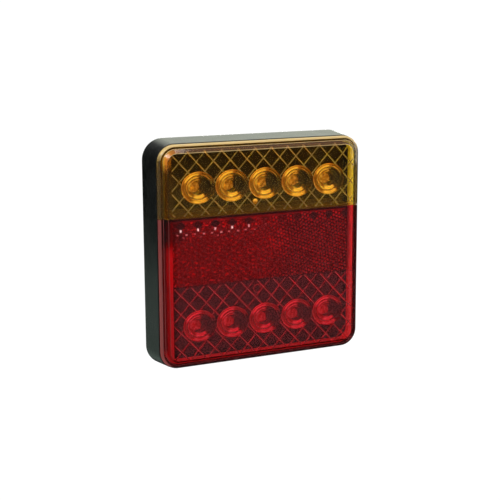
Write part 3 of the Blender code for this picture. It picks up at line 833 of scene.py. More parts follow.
def block(name, low, high, mats=(), bevel=0.0):
    bm = bmesh.new()
    bmesh.ops.create_cube(bm, size=1.0)
    for v in bm.verts:
        v.co = Vector([(low[i] + high[i]) / 2 + v.co[i] * (high[i] - low[i])
                       for i in range(3)]) * MM
    if bevel:
        bmesh.ops.bevel(bm, geom=list(bm.edges), offset=bevel * MM, segments=3,
                        affect="EDGES", profile=0.5)
    return to_object(name, bm, mats)


def tube(name, points, radius, mats, sides, smooth=40):
    """A round tube along a polyline; radius is a number or a function of 0 to 1."""
    rings = []
    normal = None
    last = len(points) - 1
    for i, point in enumerate(points):
        along = (points[min(i + 1, last)] - points[max(i - 1, 0)]).normalized()
        if normal is None:
            normal = along.orthogonal().normalized()
        normal = (normal - along * normal.dot(along)).normalized()
        side = along.cross(normal)
        r = radius(i / last) if callable(radius) else radius
        turns = [2 * math.pi * k / sides for k in range(sides)]
        rings.append([(point + (normal * math.cos(a) + side * math.sin(a)) * r) * MM
                      for a in turns])
    return skin(name, rings, mats, smooth)


def cut(obj, tool, operation="DIFFERENCE", smooth=30):
    """Boolean with a closed body, which is removed afterwards."""
    mod = obj.modifiers.new("cut", "BOOLEAN")
    mod.operation = operation
    mod.object = tool
    mod.solver = "MANIFOLD"
    bpy.context.view_layer.update()
    evaluated = obj.evaluated_get(bpy.context.evaluated_depsgraph_get())
    mesh = bpy.data.meshes.new_from_object(evaluated)
    mesh.name = obj.name
    obj.modifiers.clear()
    old = obj.data
    obj.data = mesh
    bpy.data.meshes.remove(old)
    discard(tool)
    if smooth is not None:
        shade(obj, smooth)
    return obj


def fuse(obj, tool, smooth=30):
    return cut(obj, tool, "UNION", smooth)


def join(name, objs, smooth):
    """One object from several, keeping each one's materials."""
    mats, bm = [], bmesh.new()
    for obj in objs:
        start = len(bm.faces)
        bm.from_mesh(obj.data)
        bm.faces.ensure_lookup_table()
        index = []
        for mat in obj.data.materials:
            if mat not in mats:
                mats.append(mat)
            index.append(mats.index(mat))
        for face in bm.faces[start:]:
            face.material_index = index[face.material_index] if index else 0
        discard(obj)
    return to_object(name, bm, mats, smooth, recalc=False)


def dress(obj, body, *nodes, slot):
    """Ties a mesh to its moving body and hides the CAD nodes it stands for; slot is not used."""
    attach(obj, body)
    if nodes:
        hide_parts(*nodes)


# ---- housing -----------------------------------------------------------------------
EDGE_R = 0.7                                 # rounding of the rear edge
# (depth, inset) up the outer wall, over the rim, and down inside to the floor
HOUSING_WALL = [
    (0.95, 0.0), (RIM_D - 0.5, 0.0), (RIM_D - 0.22, 0.0), (RIM_D - 0.06, 0.06), (RIM_D, 0.22),
    (RIM_D, LIP - 0.1), (RIM_D - 0.1, LIP), (REBATE_D, LIP), (REBATE_D, WALL),
    (FLOOR + 0.8, WALL + 0.42), (FLOOR, WALL + 1.2),
]
POCKET_ROWS = ((27.5, 32.0), (-34.0, 20.0))  # centre z and height
POCKET_RIBS = (-28.0, -14.0, 0.0, 14.0, 28.0)
POCKET_END, RIB_HALF = 42.0, 0.55


def add_housing_bosses(shell):
    """Posts, inner ribs and the seats of the studs."""
    post_y = -BOARD_BACK + 0.3
    for x, z in SCREW_POS:
        post = [(0, post_y), (2.8, post_y), (3.0, -BOARD_BACK + 0.5), (3.3, -2.0), (0, -2.0)]
        fuse(shell, lathe("post", post, x, z, sides=32))
    for x, z in CORNER_POS:
        post = [(0, post_y), (2.5, post_y), (2.9, -2.0), (0, -2.0)]
        fuse(shell, lathe("post", post, x, z, sides=24))
    for z in (22.0, -28.0):
        fuse(shell, block("rib", (-41.0, -4.4, z - 0.6), (41.0, -2.0, z + 0.6)))
    for x in (-14.0, 14.0):
        fuse(shell, block("rib", (x - 0.6, -4.4, -43.0), (x + 0.6, -2.0, 43.0)))
    for x in (-STUD_X, STUD_X):
        seat = [(0, -4.9), (6.8, -4.9), (7.2, -2.0), (0, -2.0)]
        fuse(shell, lathe("seat", seat, x, sides=40))
        head_r = (NUT_AF / 2 + 0.3) / math.cos(math.radians(30))
        cut(shell, lathe("head_recess", rod(head_r, -6.0, -FLOOR), x, sides=6))
        hole = [(0, -4.0), (2.8, -4.0), (2.8, -0.45), (3.2, -0.05), (3.3, 1.0), (0, 1.0)]
        cut(shell, lathe("stud_hole", hole, x, sides=40))


def cut_housing_openings(shell):
    """Screw bores, the cable hole with its recess, and the pockets of the rear face."""
    for x, z in SCREW_POS:
        bore = [(0, -9.0), (1.55, -9.0), (1.55, -2.9), (0, -2.6)]
        cut(shell, lathe("bore", bore, x, z, sides=20))
    cut(shell, lathe("cable_hole", rod(5.0, -4.0, 1.0), z=CABLE_Z))
    recess = [(0, -1.2), (7.4, -1.2), (7.4, -0.25), (7.7, 0.05), (7.7, 1.0), (0, 1.0)]
    cut(shell, lathe("recess", recess, z=CABLE_Z, sides=64))
    edges = [-POCKET_END, *(x + side for x in POCKET_RIBS for side in (-RIB_HALF, RIB_HALF)),
             POCKET_END]
    for z, height in POCKET_ROWS:
        for x0, x1 in zip(edges[0::2], edges[1::2]):
            # added to width and height, corner radius, depth
            sections = [(x1 - x0 + more, height + more, radius, depth)
                        for more, radius, depth in ((0.5, 1.75, -1.0), (0.3, 1.65, 0.0),
                                                    (0.0, 1.5, 0.25), (-0.1, 1.5, 0.9))]
            cut(shell, loft("pocket", sections, centre=((x0 + x1) / 2, z), steps=5))


def make_housing():
    profile = []
    for k in range(5):
        a = math.radians(90 * k / 4)
        profile.append((EDGE_R - EDGE_R * math.cos(a), EDGE_R - EDGE_R * math.sin(a)))
    sections = [shrink(taper_size(depth), inset, depth)
                for depth, inset in profile + HOUSING_WALL]
    shell = loft("housing_shell", sections, [housing_mat], steps=14)
    add_housing_bosses(shell)
    cut_housing_openings(shell)
    dress(shell, "lamp", "rear_housing", slot="housing_black")


def make_seal():
    """The bead of sealant that lies in the rebate under the lens."""
    width, height, radius = taper_size(REBATE_D)
    # taken off width and height, off the corner radius, and the depth
    stations = (
        (2.5, 1.25, REBATE_D + 0.25), (2.3, 1.15, REBATE_D + 0.45), (2.6, 1.3, RIM_D - 0.05),
        (3.3, 1.6, RIM_D + 0.1), (4.0, 2.0, RIM_D - 0.05), (4.3, 2.15, REBATE_D + 0.45),
        (4.1, 2.05, REBATE_D + 0.25),
    )
    bead = loft("seal_bead", [(width - less, height - less, radius - less_r, depth)
                              for less, less_r, depth in stations], [sealant_mat], closed=True)
    dress(bead, "lamp", "lens_seal_bead", slot="sealant")


make_housing()
make_seal()

# ---- lenses --------------------------------------------------------------------------
SKIRT_INSET, SKIRT_T, SKIRT_D = 2.5, 0.62, 10.5   # inset, wall and rear end of the skirt
RIDGE_PITCH = LED_PITCH / math.sqrt(2) / 2
RIDGE_HALF, RIDGE_HIGH = 0.30, 0.34
RIDGE_STRETCH = 1.065                        # in z, so that ridges run near 45 degrees
RIDGE_X = 0.3                                # x where two ridges cross

# Radius and rearward height of the clear dome over each diode.
DOME = [(0.0, 1.30), (1.0, 1.24), (1.9, 1.04), (2.6, 0.70), (3.0, 0.34), (3.15, -0.4),
        (0.0, -0.4)]
OPTIC_RINGS = ((3.5, 5.7, 1.25), (5.95, 7.85, 1.15))   # inner and outer radius, height
OPTIC_HOLE_R = 7.7


def lens_shell(name):
    """The tray-shaped moulding: skirt, flange, step and raised face."""
    path = [                                 # (inset, depth)
        (SKIRT_INSET + SKIRT_T, INNER_D), (SKIRT_INSET + SKIRT_T, SKIRT_D),
        (SKIRT_INSET, SKIRT_D), (SKIRT_INSET - 0.02, RIM_D + 0.3), (0.05, RIM_D + 0.3),
        (0.0, FLANGE_D), (STEP_INSET, FLANGE_D), (FACE_INSET, FACE_D),
        (FACE_INSET + 2.0, FACE_D),
    ]
    path = soften(path, {1: 0.2, 2: 0.2, 4: 0.25, 5: 0.9, 6: 0.45, 7: 0.55}, steps=5)
    # the last point only gave the face edge its direction
    return loft(name, [shrink(FRONT, inset, depth) for inset, depth in path[:-1]], steps=16)


def ridge_slab(x0, x1, z0, z1, phase_z):
    """A slab whose rear carries crossed V ridges.

    Its grid runs along the two diagonals u and w, with a line on each side of every
    ridge and one along its crest.
    """
    count = int(72.0 / RIDGE_PITCH) + 1
    places = range(-count, count + 1)
    ticks = sorted({round(k * RIDGE_PITCH + side, 5)
                    for k in places for side in (-RIDGE_HALF, 0.0, RIDGE_HALF)})
    crests = {round(k * RIDGE_PITCH, 5) for k in places}
    root = math.sqrt(0.5)
    bm = bmesh.new()

    def point(u, w, depth):
        return bm.verts.new(((RIDGE_X + (u + w) * root) * MM, -depth * MM,
                             (phase_z + (u - w) * root * RIDGE_STRETCH) * MM))

    def rear(u, w):
        return INNER_D - RIDGE_HIGH if (u in crests or w in crests) else INNER_D + 0.02

    low = [[point(u, w, rear(u, w)) for w in ticks] for u in ticks]
    high = [[point(u, w, INNER_D + 0.6) for w in ticks] for u in ticks]
    n = len(ticks)
    narrow = RIDGE_HALF * 1.5
    for i in range(n - 1):
        for j in range(n - 1):
            a, b, c, e = low[i][j], low[i + 1][j], low[i + 1][j + 1], low[i][j + 1]
            if ticks[i + 1] - ticks[i] < narrow and ticks[j + 1] - ticks[j] < narrow:
                # where ridges cross, the diagonal follows the mitre
                if (ticks[i] in crests) == (ticks[j] in crests):
                    bm.faces.new((a, b, c))
                    bm.faces.new((a, c, e))
                else:
                    bm.faces.new((a, b, e))
                    bm.faces.new((b, c, e))
            else:
                bm.faces.new((a, b, c, e))
            bm.faces.new((high[i][j], high[i][j + 1], high[i + 1][j + 1], high[i + 1][j]))
    for i in range(n - 1):
        for (ai, aj), (bi, bj) in (((i, 0), (i + 1, 0)), ((i + 1, n - 1), (i, n - 1)),
                                   ((0, i + 1), (0, i)), ((n - 1, i), (n - 1, i + 1))):
            bm.faces.new((low[ai][aj], high[ai][aj], high[bi][bj], low[bi][bj]))
    slab = to_object("slab", bm, smooth=None)
    return cut(slab, block("limit", (x0, -30, z0), (x1, 0, z1)), "INTERSECT", smooth=None)


def optic_profile():
    """Radius and rearward height of the collimator's two rounded rings, open in the middle."""
    out = [(3.3, 0.10)]
    for r0, r1, high in OPTIC_RINGS:
        out += [(r0 + (r1 - r0) * k / 7, 0.14 + high * math.sin(math.pi * k / 7) ** 0.7)
                for k in range(8)]
    return out + [(7.86, -0.4), (3.3, -0.4)]


def optic_lathe(profile, x, row_z, y=0.0):
    """A turned body on a collimator's axis, flattened like the collimator."""
    obj = lathe("optic", profile, x + OPTIC_DX, row_z + OPTIC_DZ, y, sides=72)
    centre = Vector((0, 0, (row_z + OPTIC_DZ) * MM))
    obj.data.transform(Matrix.Translation(centre) @ Matrix.Diagonal((1, 1, OPTIC_FLAT, 1))
                       @ Matrix.Translation(-centre))
    return obj


def make_lens(name, z0, z1, row_z, field, phase_z):
    """One lens, cut from the shell between z0 and z1; field is the ridges' x and z range."""
    lens = lens_shell(name)
    cut(lens, block("limit", (-60, -30, z0), (60, 5, z1)), "INTERSECT", smooth=None)
    slab = ridge_slab(*field, phase_z)
    for x in LED_X:
        cut(slab, optic_lathe(rod(OPTIC_HOLE_R, -20, -5), x, row_z), smooth=None)
    fuse(lens, slab, smooth=None)
    profile = optic_profile()
    for x in LED_X:
        fuse(lens, optic_lathe(profile, x, row_z, -INNER_D), smooth=None)
        fuse(lens, lathe("dome", DOME, x - 0.2, row_z + 0.1, -INNER_D), smooth=None)
    return lens


def lens_slot(centre, facing, row_z):
    """Material slot of a face, from its centre in mm and the y of its normal."""
    depth = -centre.y
    optic_r = min(math.hypot(centre.x - x - OPTIC_DX,
                             (centre.z - row_z - OPTIC_DZ) / OPTIC_FLAT) for x in LED_X)
    on_gate = row_z > 0 and math.hypot(centre.x - GATE[0], centre.z - GATE[1]) < 1.2
    past_x = abs(centre.x) - (FRONT_W / 2 - FRONT_R)
    past_z = abs(centre.z) - (FRONT_H / 2 - FRONT_R)
    inset = (FRONT_R - math.hypot(max(past_x, 0.0), max(past_z, 0.0))
             - min(max(past_x, past_z), 0.0))
    on_skirt = 2.6 < inset < 3.6
    at_inner = abs(depth - INNER_D) < 0.02
    flat = facing > 0.999 and at_inner
    if depth < INNER_D + 0.001 and (optic_r < 7.87 or on_gate) and not on_skirt and not flat:
        return OPTIC
    if on_skirt and depth < INNER_D and abs(facing) < 0.5:
        return SKIRT
    if inset > 3.0 and at_inner and facing > 0.95:
        return MARGIN
    if inset > 3.0 and depth < INNER_D and facing > 0.05:
        return RIDGE
    if depth > 16.2 and STEP_INSET < inset < FACE_INSET and -0.80 < facing < -0.6:
        return STEP
    if depth > RIM_D + 0.35 and inset < 0.95 and -0.99 < facing < 0.3:
        return EDGE
    if depth > FLANGE_D - 0.01 and -0.99 < facing < -0.1:
        return EDGE
    return LENS


def paint_lens(lens, row_z, mats):
    set_materials(lens, *mats)
    shade(lens, 24)
    for face in lens.data.polygons:
        face.material_index = lens_slot(face.center / MM, face.normal.y, row_z)


amber = make_lens("lens_amber_shell", SPLIT_Z + SEAM / 2, 60, AMBER_Z,
                  field=(-42.5, 45.2, 18.0, 45.5), phase_z=24.3)
gate = [(0.0, 0.55), (0.9, 0.55), (1.1, 0.35), (1.15, -0.3), (0.0, -0.3)]
fuse(amber, lathe("gate", gate, *GATE, -INNER_D, sides=24), smooth=None)
paint_lens(amber, AMBER_Z, amber_mats)
dress(amber, "lamp", "lens_amber", slot="amber_lens")

red = make_lens("lens_red_shell", -60, SPLIT_Z - SEAM / 2, RED_Z,
                field=(-42.5, 45.2, -45.5, REFLEX_Z0 - 0.5), phase_z=-24.8)
ring_mark = [(1.5, 0.4), (2.0, 0.4), (2.15, -0.3), (1.35, -0.3)]
fuse(red, lathe("ring_mark", ring_mark, -2.9, -16.6, -INNER_D, sides=32), smooth=None)
paint_lens(red, RED_Z, red_mats)
dress(red, "lamp", "lens_red", slot="red_lens")

# ---- reflex reflector: a plate with cube-corner prisms on its back ---------------------
CUBE_ACROSS = 2.4                            # prism size across flats
PLATE_D = INNER_D - 0.35                     # front of the plate


def prism_field():
    """A slab whose rear is a triangular lattice stepped so as to form cube corners."""
    edge = CUBE_ACROSS / math.sqrt(3)
    row = edge * math.sqrt(3) / 2
    step = edge * math.sqrt(0.5)
    base = PLATE_D - 0.75
    rows, cols = int(REFLEX_H / row) + 6, int(REFLEX_W / edge) + 8
    bm = bmesh.new()

    def place(i, j):
        return ((i + 0.5 * (j % 2)) * edge - cols * edge / 2,
                REFLEX_MID + (j - rows / 2) * edge * math.sqrt(3) / 2)

    def level(i, j):
        """Vertices take their level from their lattice place modulo three."""
        return (i - (j - (j & 1)) // 2 + 2 * j) % 3

    def lattice(depth):
        grid = []
        for j in range(rows):
            grid.append([])
            for i in range(cols):
                x, z = place(i, j)
                grid[-1].append(bm.verts.new((x * MM, -depth(i, j) * MM, z * MM)))
        return grid

    rear = lattice(lambda i, j: base - step * level(i, j))
    front = lattice(lambda i, j: PLATE_D)
    for j in range(rows - 1):
        for i in range(cols - 1):
            if j % 2 == 0:
                triangles = (((j, i), (j, i + 1), (j + 1, i)),
                             ((j, i + 1), (j + 1, i + 1), (j + 1, i)))
            else:
                triangles = (((j, i), (j, i + 1), (j + 1, i + 1)),
                             ((j, i), (j + 1, i + 1), (j + 1, i)))
            for triangle in triangles:
                bm.faces.new([rear[a][b] for a, b in triangle])
                bm.faces.new([front[a][b] for a, b in reversed(triangle)])
    border = [(0, i) for i in range(cols)]
    border += [(j, cols - 1) for j in range(1, rows)]
    border += [(rows - 1, i) for i in range(cols - 2, -1, -1)]
    border += [(j, 0) for j in range(rows - 2, 0, -1)]
    for (aj, ai), (bj, bi) in zip(border, border[1:] + border[:1]):
        bm.faces.new((rear[aj][ai], front[aj][ai], front[bj][bi], rear[bj][bi]))
    return to_object("reflex_prisms", bm, smooth=None)


def make_reflex():
    plate = prism_field()
    centre = (0, REFLEX_MID)
    outer, inner = (REFLEX_W, REFLEX_H, 1.2), (REFLEX_W - 1.4, REFLEX_H - 1.4, 0.6)
    limit = loft("limit", [(*outer, 18.0), (*outer, 8.0)], centre=centre, steps=4)
    cut(plate, limit, "INTERSECT", smooth=None)
    rear = INNER_D - 2.75
    rim = loft("rim", [(*outer, PLATE_D), (*outer, rear), (*inner, rear), (*inner, PLATE_D)],
               centre=centre, closed=True, steps=4)
    fuse(plate, rim, smooth=None)
    set_materials(plate, reflex_mat, reflex_rim)
    for face in plate.data.polygons:
        face.use_smooth = False
        c = face.center / MM
        on_rim = c.z > REFLEX_Z1 - 0.72 or c.x < -REFLEX_W / 2 + 0.72
        face.material_index = int(on_rim and -c.y < INNER_D - 0.4)
    dress(plate, "lamp", "reflex_plate", slot="reflex_red")


def make_backing():
    """Grey tray behind the reflector, with a black rim."""
    # added to width and height, corner radius, depth
    stations = ((1.2, 2.0, 11.4), (1.8, 2.2, 11.7), (1.8, 2.2, 13.4), (1.6, 2.1, 13.6),
                (0.7, 1.9, 13.6), (0.5, 1.8, 13.4), (0.5, 1.8, 12.65))
    tray = loft("reflex_tray", [(REFLEX_W + more, REFLEX_H + more, radius, depth)
                                for more, radius, depth in stations],
                [backing_mat, housing_mat], centre=(0, REFLEX_MID), steps=6)
    for face in tray.data.polygons:
        c = face.center / MM
        face.material_index = int(abs(c.z - REFLEX_MID) > REFLEX_H / 2 + 0.05
                                  or abs(c.x) > REFLEX_W / 2 + 0.05)
    dress(tray, "lamp", "reflex_backing", slot="backing_grey")


def make_divider():
    """The web between the amber and red chambers, with a foot on the board."""
    # (y, z) of the lower half, from the foot to the front edge
    lower = [(-8.7, -2.4), (-9.5, -2.4), (-9.7, -2.2), (-9.9, -0.85), (-10.4, -0.75),
             (-15.35, -0.6), (-15.45, -0.5)]
    outline = lower + [(y, -z) for y, z in reversed(lower)]
    rings = [[(x * MM, y * MM, (SPLIT_Z + 0.3 + z) * MM) for y, z in outline]
             for x in (-43.0, 43.0)]
    web = skin("divider_web", rings, [divider_mat], winding=1)
    dress(web, "lamp", "light_divider", slot="divider_black")


make_reflex()
make_backing()
make_divider()


# ---- circuit board and its parts -------------------------------------------------------
def make_board():
    size = (88.0, 88.6, 6.0)
    panel = loft("board_panel", [
        shrink(size, 0.1, BOARD_BACK), shrink(size, 0.0, BOARD_BACK + 0.1),
        shrink(size, 0.0, BOARD_FRONT - 0.1), shrink(size, 0.1, BOARD_FRONT),
    ], [board_mat], steps=8)
    for x, z in SCREW_POS:
        cut(panel, lathe("hole", rod(1.7, -10, -5), x, z, sides=24))
    for x, z in LEG_POS:
        cut(panel, lathe("hole", rod(0.6, -10, -5), x, z, sides=12))
    # (radius, height above the rear of the board) of a solder fillet round a leg
    fillet = [(0.36, 0.02), (0.95, 0.02), (0.8, 0.16), (0.5, 0.42), (0.36, 0.75)]
    pads = [lathe("pad", [(r, -BOARD_BACK + up) for r, up in fillet], x, z, sides=14,
                  mats=[solder_mat], smooth=60) for x, z in LEG_POS]
    board = join("board_panel", [panel] + pads, smooth=30)
    dress(board, "lamp", "circuit_board", slot="board_black")


def make_board_screws():
    profile = [(0, 3.2), (0.5, 3.3), (0.95, 3.9)]             # tip, as (radius, depth)
    for k in range(5):                                        # thread
        profile += [(1.0, 4.0 + k * 0.9), (1.25, 4.4 + k * 0.9)]
    profile += [(1.25, PART_D), (2.5, PART_D), (2.62, PART_D + 0.15), (2.55, PART_D + 0.8),
                (2.2, PART_D + 1.3), (1.5, PART_D + 1.62), (0, PART_D + 1.72)]
    for n, (x, z) in enumerate(SCREW_POS, 1):
        screw = lathe(f"board_screw_head_{n}", profile, x, z, towards=-1, sides=28,
                      mats=[screw_mat])
        for across, up in ((1.3, 0.28), (0.28, 1.3)):         # cross recess
            cut(screw, block("slot", (x - across, -(PART_D + 2.2), z - up),
                             (x + across, -(PART_D + 0.75), z + up)))
        dress(screw, "lamp", f"board_screw_{n}", slot="screw_steel")


make_board()
make_board_screws()

# These parts keep their CAD meshes and only get materials.
cad_parts = {f"resistor_{n}": resistor_mat for n in range(1, 5)}
cad_parts.update({f"blocking_diode_{n}": diode_mat for n in range(1, 4)})
cad_parts.update({f"lead_{wire}": mat for wire, mat in WIRES.items()})
for node, mat in cad_parts.items():
    set_materials(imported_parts[node], mat)


# ---- light-emitting diodes ---------------------------------------------------------------
def make_diode(name, epoxy, die):
    """A 5 mm diode: clear body, reflector cup on its post, die, wire and legs."""
    d0 = PART_D
    dome_r, dome_high = 2.49, 2.4
    profile = [(0, d0), (2.86, d0), (2.9, d0 + 0.05), (2.9, d0 + 0.92), (2.82, d0 + 1.0),
               (2.5, d0 + 1.0), (dome_r, d0 + 2.6)]
    for degrees in range(10, 90, 10):
        a = math.radians(degrees)
        profile.append((dome_r * math.cos(a), d0 + 2.6 + dome_high * math.sin(a)))
    profile.append((0, d0 + 5.0))
    body = lathe(name, profile, towards=-1, mats=[epoxy])
    cut(body, block("flat", (2.55, -(d0 + 1.1), -4), (4, -(d0 - 0.2), 4)))
    cup_profile = [(0, d0 + 1.6), (0.5, d0 + 1.6), (1.05, d0 + 2.5), (1.15, d0 + 2.95),
                   (1.0, d0 + 2.95), (0.55, d0 + 2.5), (0, d0 + 2.5)]
    cup = lathe("cup", cup_profile, x=-0.25, towards=-1, sides=32, mats=[lead_metal])
    post = block("post", (-1.45, -(d0 + 2.2), -0.25), (-0.45, -(d0 + 0.25), 0.25),
                 [lead_metal], bevel=0.06)
    arm = block("arm", (0.95, -(d0 + 2.85), -0.22), (1.6, -(d0 + 0.25), 0.22),
                [lead_metal], bevel=0.06)
    chip = block("chip", (-0.42, -(d0 + 2.78), -0.17), (-0.08, -(d0 + 2.53), 0.17),
                 [die], bevel=0.02)
    wire_path = [(-0.25, -(d0 + 2.8), 0), (0.2, -(d0 + 3.4), 0), (1.2, -(d0 + 2.88), 0)]
    wire = tube("wire", bend(wire_path, radius=0.4, steps=4), 0.04, [lead_metal], sides=6)
    legs = [block("leg", (x - 0.25, -d0 + 0.02, -0.25), (x + 0.25, -BOARD_BACK + 0.9, 0.25),
                  [lead_metal], bevel=0.05) for x in (-LEG_X, LEG_X)]
    return join(name, [body, cup, post, arm, chip, wire] + legs, smooth=30)


for colour, z, epoxy, die in (("amber", AMBER_Z, epoxy_amber, die_amber),
                              ("red", RED_Z, epoxy_red, die_red)):
    master = make_diode(f"{colour}_diode_1", epoxy, die)
    for n, x in enumerate(LED_X, 1):
        diode = master
        if n > 1:
            diode = bpy.data.objects.new(f"{colour}_diode_{n}", master.data)
            bpy.context.scene.collection.objects.link(diode)
        diode.location = (x * MM, 0, z * MM)
        dress(diode, "lamp", f"{colour}_led_{n}", slot=f"led_{colour}")


# ---- bolts, washers and nuts -----------------------------------------------------------
THREAD_Y0, THREAD_ROOT, THREAD_PITCH = 0.9, 2.06, 0.8


def y_range(node):
    """Rear-to-front extent of a CAD piece in mm, as (least y, greatest y)."""
    low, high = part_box(node)
    return low.y / MM, high.y / MM


def thread_radius(y, turn):
    """Radius of the helical V thread; it runs in at its start and its tip is chamfered."""
    phase = ((y - THREAD_Y0) / THREAD_PITCH - turn) % 1.0
    wave = 1 - abs(2 * phase - 1)
    r = THREAD_ROOT + (STUD_R - THREAD_ROOT) * min(1.0, max(0.0, wave * 1.3 - 0.1))
    run_in = min(1.0, (y - THREAD_Y0) / (0.8 * THREAD_PITCH))
    r = STUD_R - (STUD_R - r) * run_in
    return min(r, STUD_R - max(0.0, y - (STUD_OUT - 0.75)) * 0.95)


def make_thread(x):
    sides, per_turn = 36, 10
    length = STUD_OUT - THREAD_Y0
    steps = int(round(length / THREAD_PITCH * per_turn))
    rings = []
    for s in range(steps + 1):
        y = THREAD_Y0 + length * s / steps
        ring = []
        for k in range(sides):
            a = 2 * math.pi * k / sides
            r = thread_radius(y, k / sides)
            ring.append(((x + r * math.cos(a)) * MM, y * MM, r * math.sin(a) * MM))
        rings.append(ring)
    return skin("screw", rings, [zinc_dark], smooth=50)


def hexagon(name, y0, y1, x, bore=None):
    """A hexagon with its corners turned off, and a chamfered bore if given a radius."""
    body = lathe(name, rod(NUT_CORNER, y0, y1), x, sides=6, mats=[zinc_mat])
    flat_r, out_r = NUT_AF / 2 - 0.15, NUT_CORNER + 0.32
    envelope = [(0, y0 - 0.001), (flat_r, y0 - 0.001), (out_r, y0 + 0.55),
                (out_r, y1 - 0.55), (flat_r, y1 + 0.001), (0, y1 + 0.001)]
    cut(body, lathe("envelope", envelope, x, sides=64), "INTERSECT")
    if bore:
        wide = bore + 0.45
        cut(body, lathe("bore", [(0, y0 - 1), (wide, y0 - 1), (wide, y0), (bore, y0 + 0.45),
                                 (bore, y1 - 0.45), (wide, y1), (wide, y1 + 1), (0, y1 + 1)], x))
    return body


def make_bolt(side, x):
    head = hexagon("head", -5.9, -2.7, x)
    fuse(head, lathe("shank", rod(STUD_R, -3.2, 0.95), x, sides=36, mats=[zinc_mat]))
    bolt = join(f"bolt_{side}", [head, make_thread(x)], smooth=45)
    dress(bolt, "lamp", f"stud_{side}", slot="zinc_steel")


def make_plain_washer(side, x):
    y0, y1 = y_range(f"washer_{side}")
    middle = (y0 + y1) / 2
    profile = [(2.75, middle), (2.75, y0), (5.0, y0), (5.0, y1), (2.75, y1),
               (2.75, middle + 0.01)]
    profile = soften(profile, {1: 0.1, 2: 0.16, 3: 0.22, 4: 0.1}, steps=3)
    washer = lathe(f"plain_washer_{side}", profile, x, sides=64, mats=[zinc_mat])
    dress(washer, f"{side}_washers", f"washer_{side}", slot="zinc_steel")


def make_spring_washer(side, x):
    """A split ring whose one end stands higher than the other."""
    y0, y1 = y_range(f"lock_washer_{side}")
    # (radius, height) round the wire's section
    section = ((2.8, 0.06), (2.86, 0.0), (4.34, 0.0), (4.45, 0.1), (4.45, 0.82),
               (4.34, 0.92), (2.86, 0.92), (2.8, 0.86))
    count = 60
    rings = []
    for k in range(count + 1):
        a = math.radians(96 + 348 * k / count)
        rise = (y1 - y0 - 0.95) * (k / count)
        rings.append([((x + r * math.cos(a)) * MM, (y0 + rise + up) * MM,
                       r * math.sin(a) * MM) for r, up in section])
    spring = skin(f"spring_washer_{side}", rings, [zinc_dark])
    dress(spring, f"{side}_washers", f"lock_washer_{side}", slot="zinc_steel")


def make_nut(side, x):
    nut = hexagon(f"hex_nut_{side}", *y_range(f"nut_{side}"), x, bore=2.62)
    dress(nut, f"{side}_nut", f"nut_{side}", slot="zinc_steel")


for side, x in (("left", -STUD_X), ("right", STUD_X)):
    make_bolt(side, x)
    make_plain_washer(side, x)
    make_spring_washer(side, x)
    make_nut(side, x)


# ---- grommet and cable -------------------------------------------------------------------
def make_grommet():
    # (radius, y): inner flange, neck and outer flange
    profile = [(3.35, -3.7), (5.75, -3.7), (5.9, -3.55), (5.9, -2.85), (5.75, -2.7),
               (4.72, -2.7), (4.72, -0.9), (6.85, -0.9), (7.0, -0.75), (7.0, 0.6),
               (6.75, 0.9), (5.75, 1.15)]
    for k in range(5):                       # strain-relief rings
        y, r = 1.5 + 1.85 * k, 5.5 - 0.27 * k
        profile += [(r, y), (r + 0.02, y + 0.15), (r, y + 0.95), (r - 0.2, y + 1.1),
                    (r - 0.72, y + 1.15), (r - 0.78, y + 1.3), (r - 0.74, y + 1.62)]
    profile += [(4.12, 10.75), (3.95, 11.0), (3.35, 11.0)]
    grommet = lathe("grommet_body", profile, z=CABLE_Z, sides=56, mats=[rubber_mat], smooth=40)
    dress(grommet, "lamp", "cable_grommet", slot="rubber_black")


def make_cable():
    path = bend([(0.0, -3.0, CABLE_Z), (0.0, CABLE_OUT, CABLE_Z), (0.0, CABLE_OUT, CABLE_END_Z)],
                radius=9.0, steps=14)
    cable = tube("cable_jacket", refine(path, 0.8),
                 lambda t: CABLE_R - (0.18 if t > 0.992 else 0.0), [cable_mat], sides=32,
                 smooth=50)
    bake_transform(cable)
    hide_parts("cable_sleeve", "cable_tail")

    filler = lathe("cable_filler", [(0, 0), (2.35, 0), (2.3, 0.12), (0, 0.16)], sides=28,
                   mats=[filler_mat])
    filler.data.transform(Matrix.Translation(Vector((0, CABLE_OUT, CABLE_END_Z)) * MM)
                          @ Matrix.Rotation(math.radians(-90), 4, "X"))
    dress(filler, "cable_tail", slot="cable_black")


def make_strands(path):
    """Six copper strands laid round a seventh, out of the end of a core."""
    tip = path[-1]
    along = (path[-1] - path[-2]).normalized()
    side = along.orthogonal().normalized()
    other = along.cross(side)
    strands = []
    for k in range(7):
        r = 0.0 if k == 6 else 0.235
        lay = []
        for m in range(9):
            t = m / 8
            a = 2 * math.pi * (k / 6 + t * 0.45)
            lay.append(tip - along * 0.3 + along * (2.65 * t)
                       + (side * math.cos(a) + other * math.sin(a)) * r)
        strands.append(tube("strand", lay, 0.115, [copper_mat], sides=8))
    return strands


def make_core(wire, x, y):
    """One core, x and y off the cable's axis, splaying out below the jacket."""
    splay = 1.6
    path = bend([(x, CABLE_OUT + y, -38.0), (x, CABLE_OUT + y, -40.9),
                 (x * splay, CABLE_OUT + y * splay, -44.0),
                 (x * splay * 1.12, CABLE_OUT + y * splay * 1.12, -46.6)], radius=4.0, steps=6)
    jacket = tube("jacket", refine(path, 0.5), 0.62, [WIRES[wire]], sides=20)
    core = join(f"core_wire_{wire}", [jacket] + make_strands(path), smooth=50)
    dress(core, "cable_tail", f"core_{wire}", slot=f"wire_{wire}")


make_grommet()
make_cable()
CORE_OFF = 0.867
for wire, x_side, y_side in (("white", -1, 1), ("red", -1, -1), ("brown", 1, -1),
                             ("yellow", 1, 1)):
    make_core(wire, x_side * CORE_OFF, y_side * CORE_OFF)


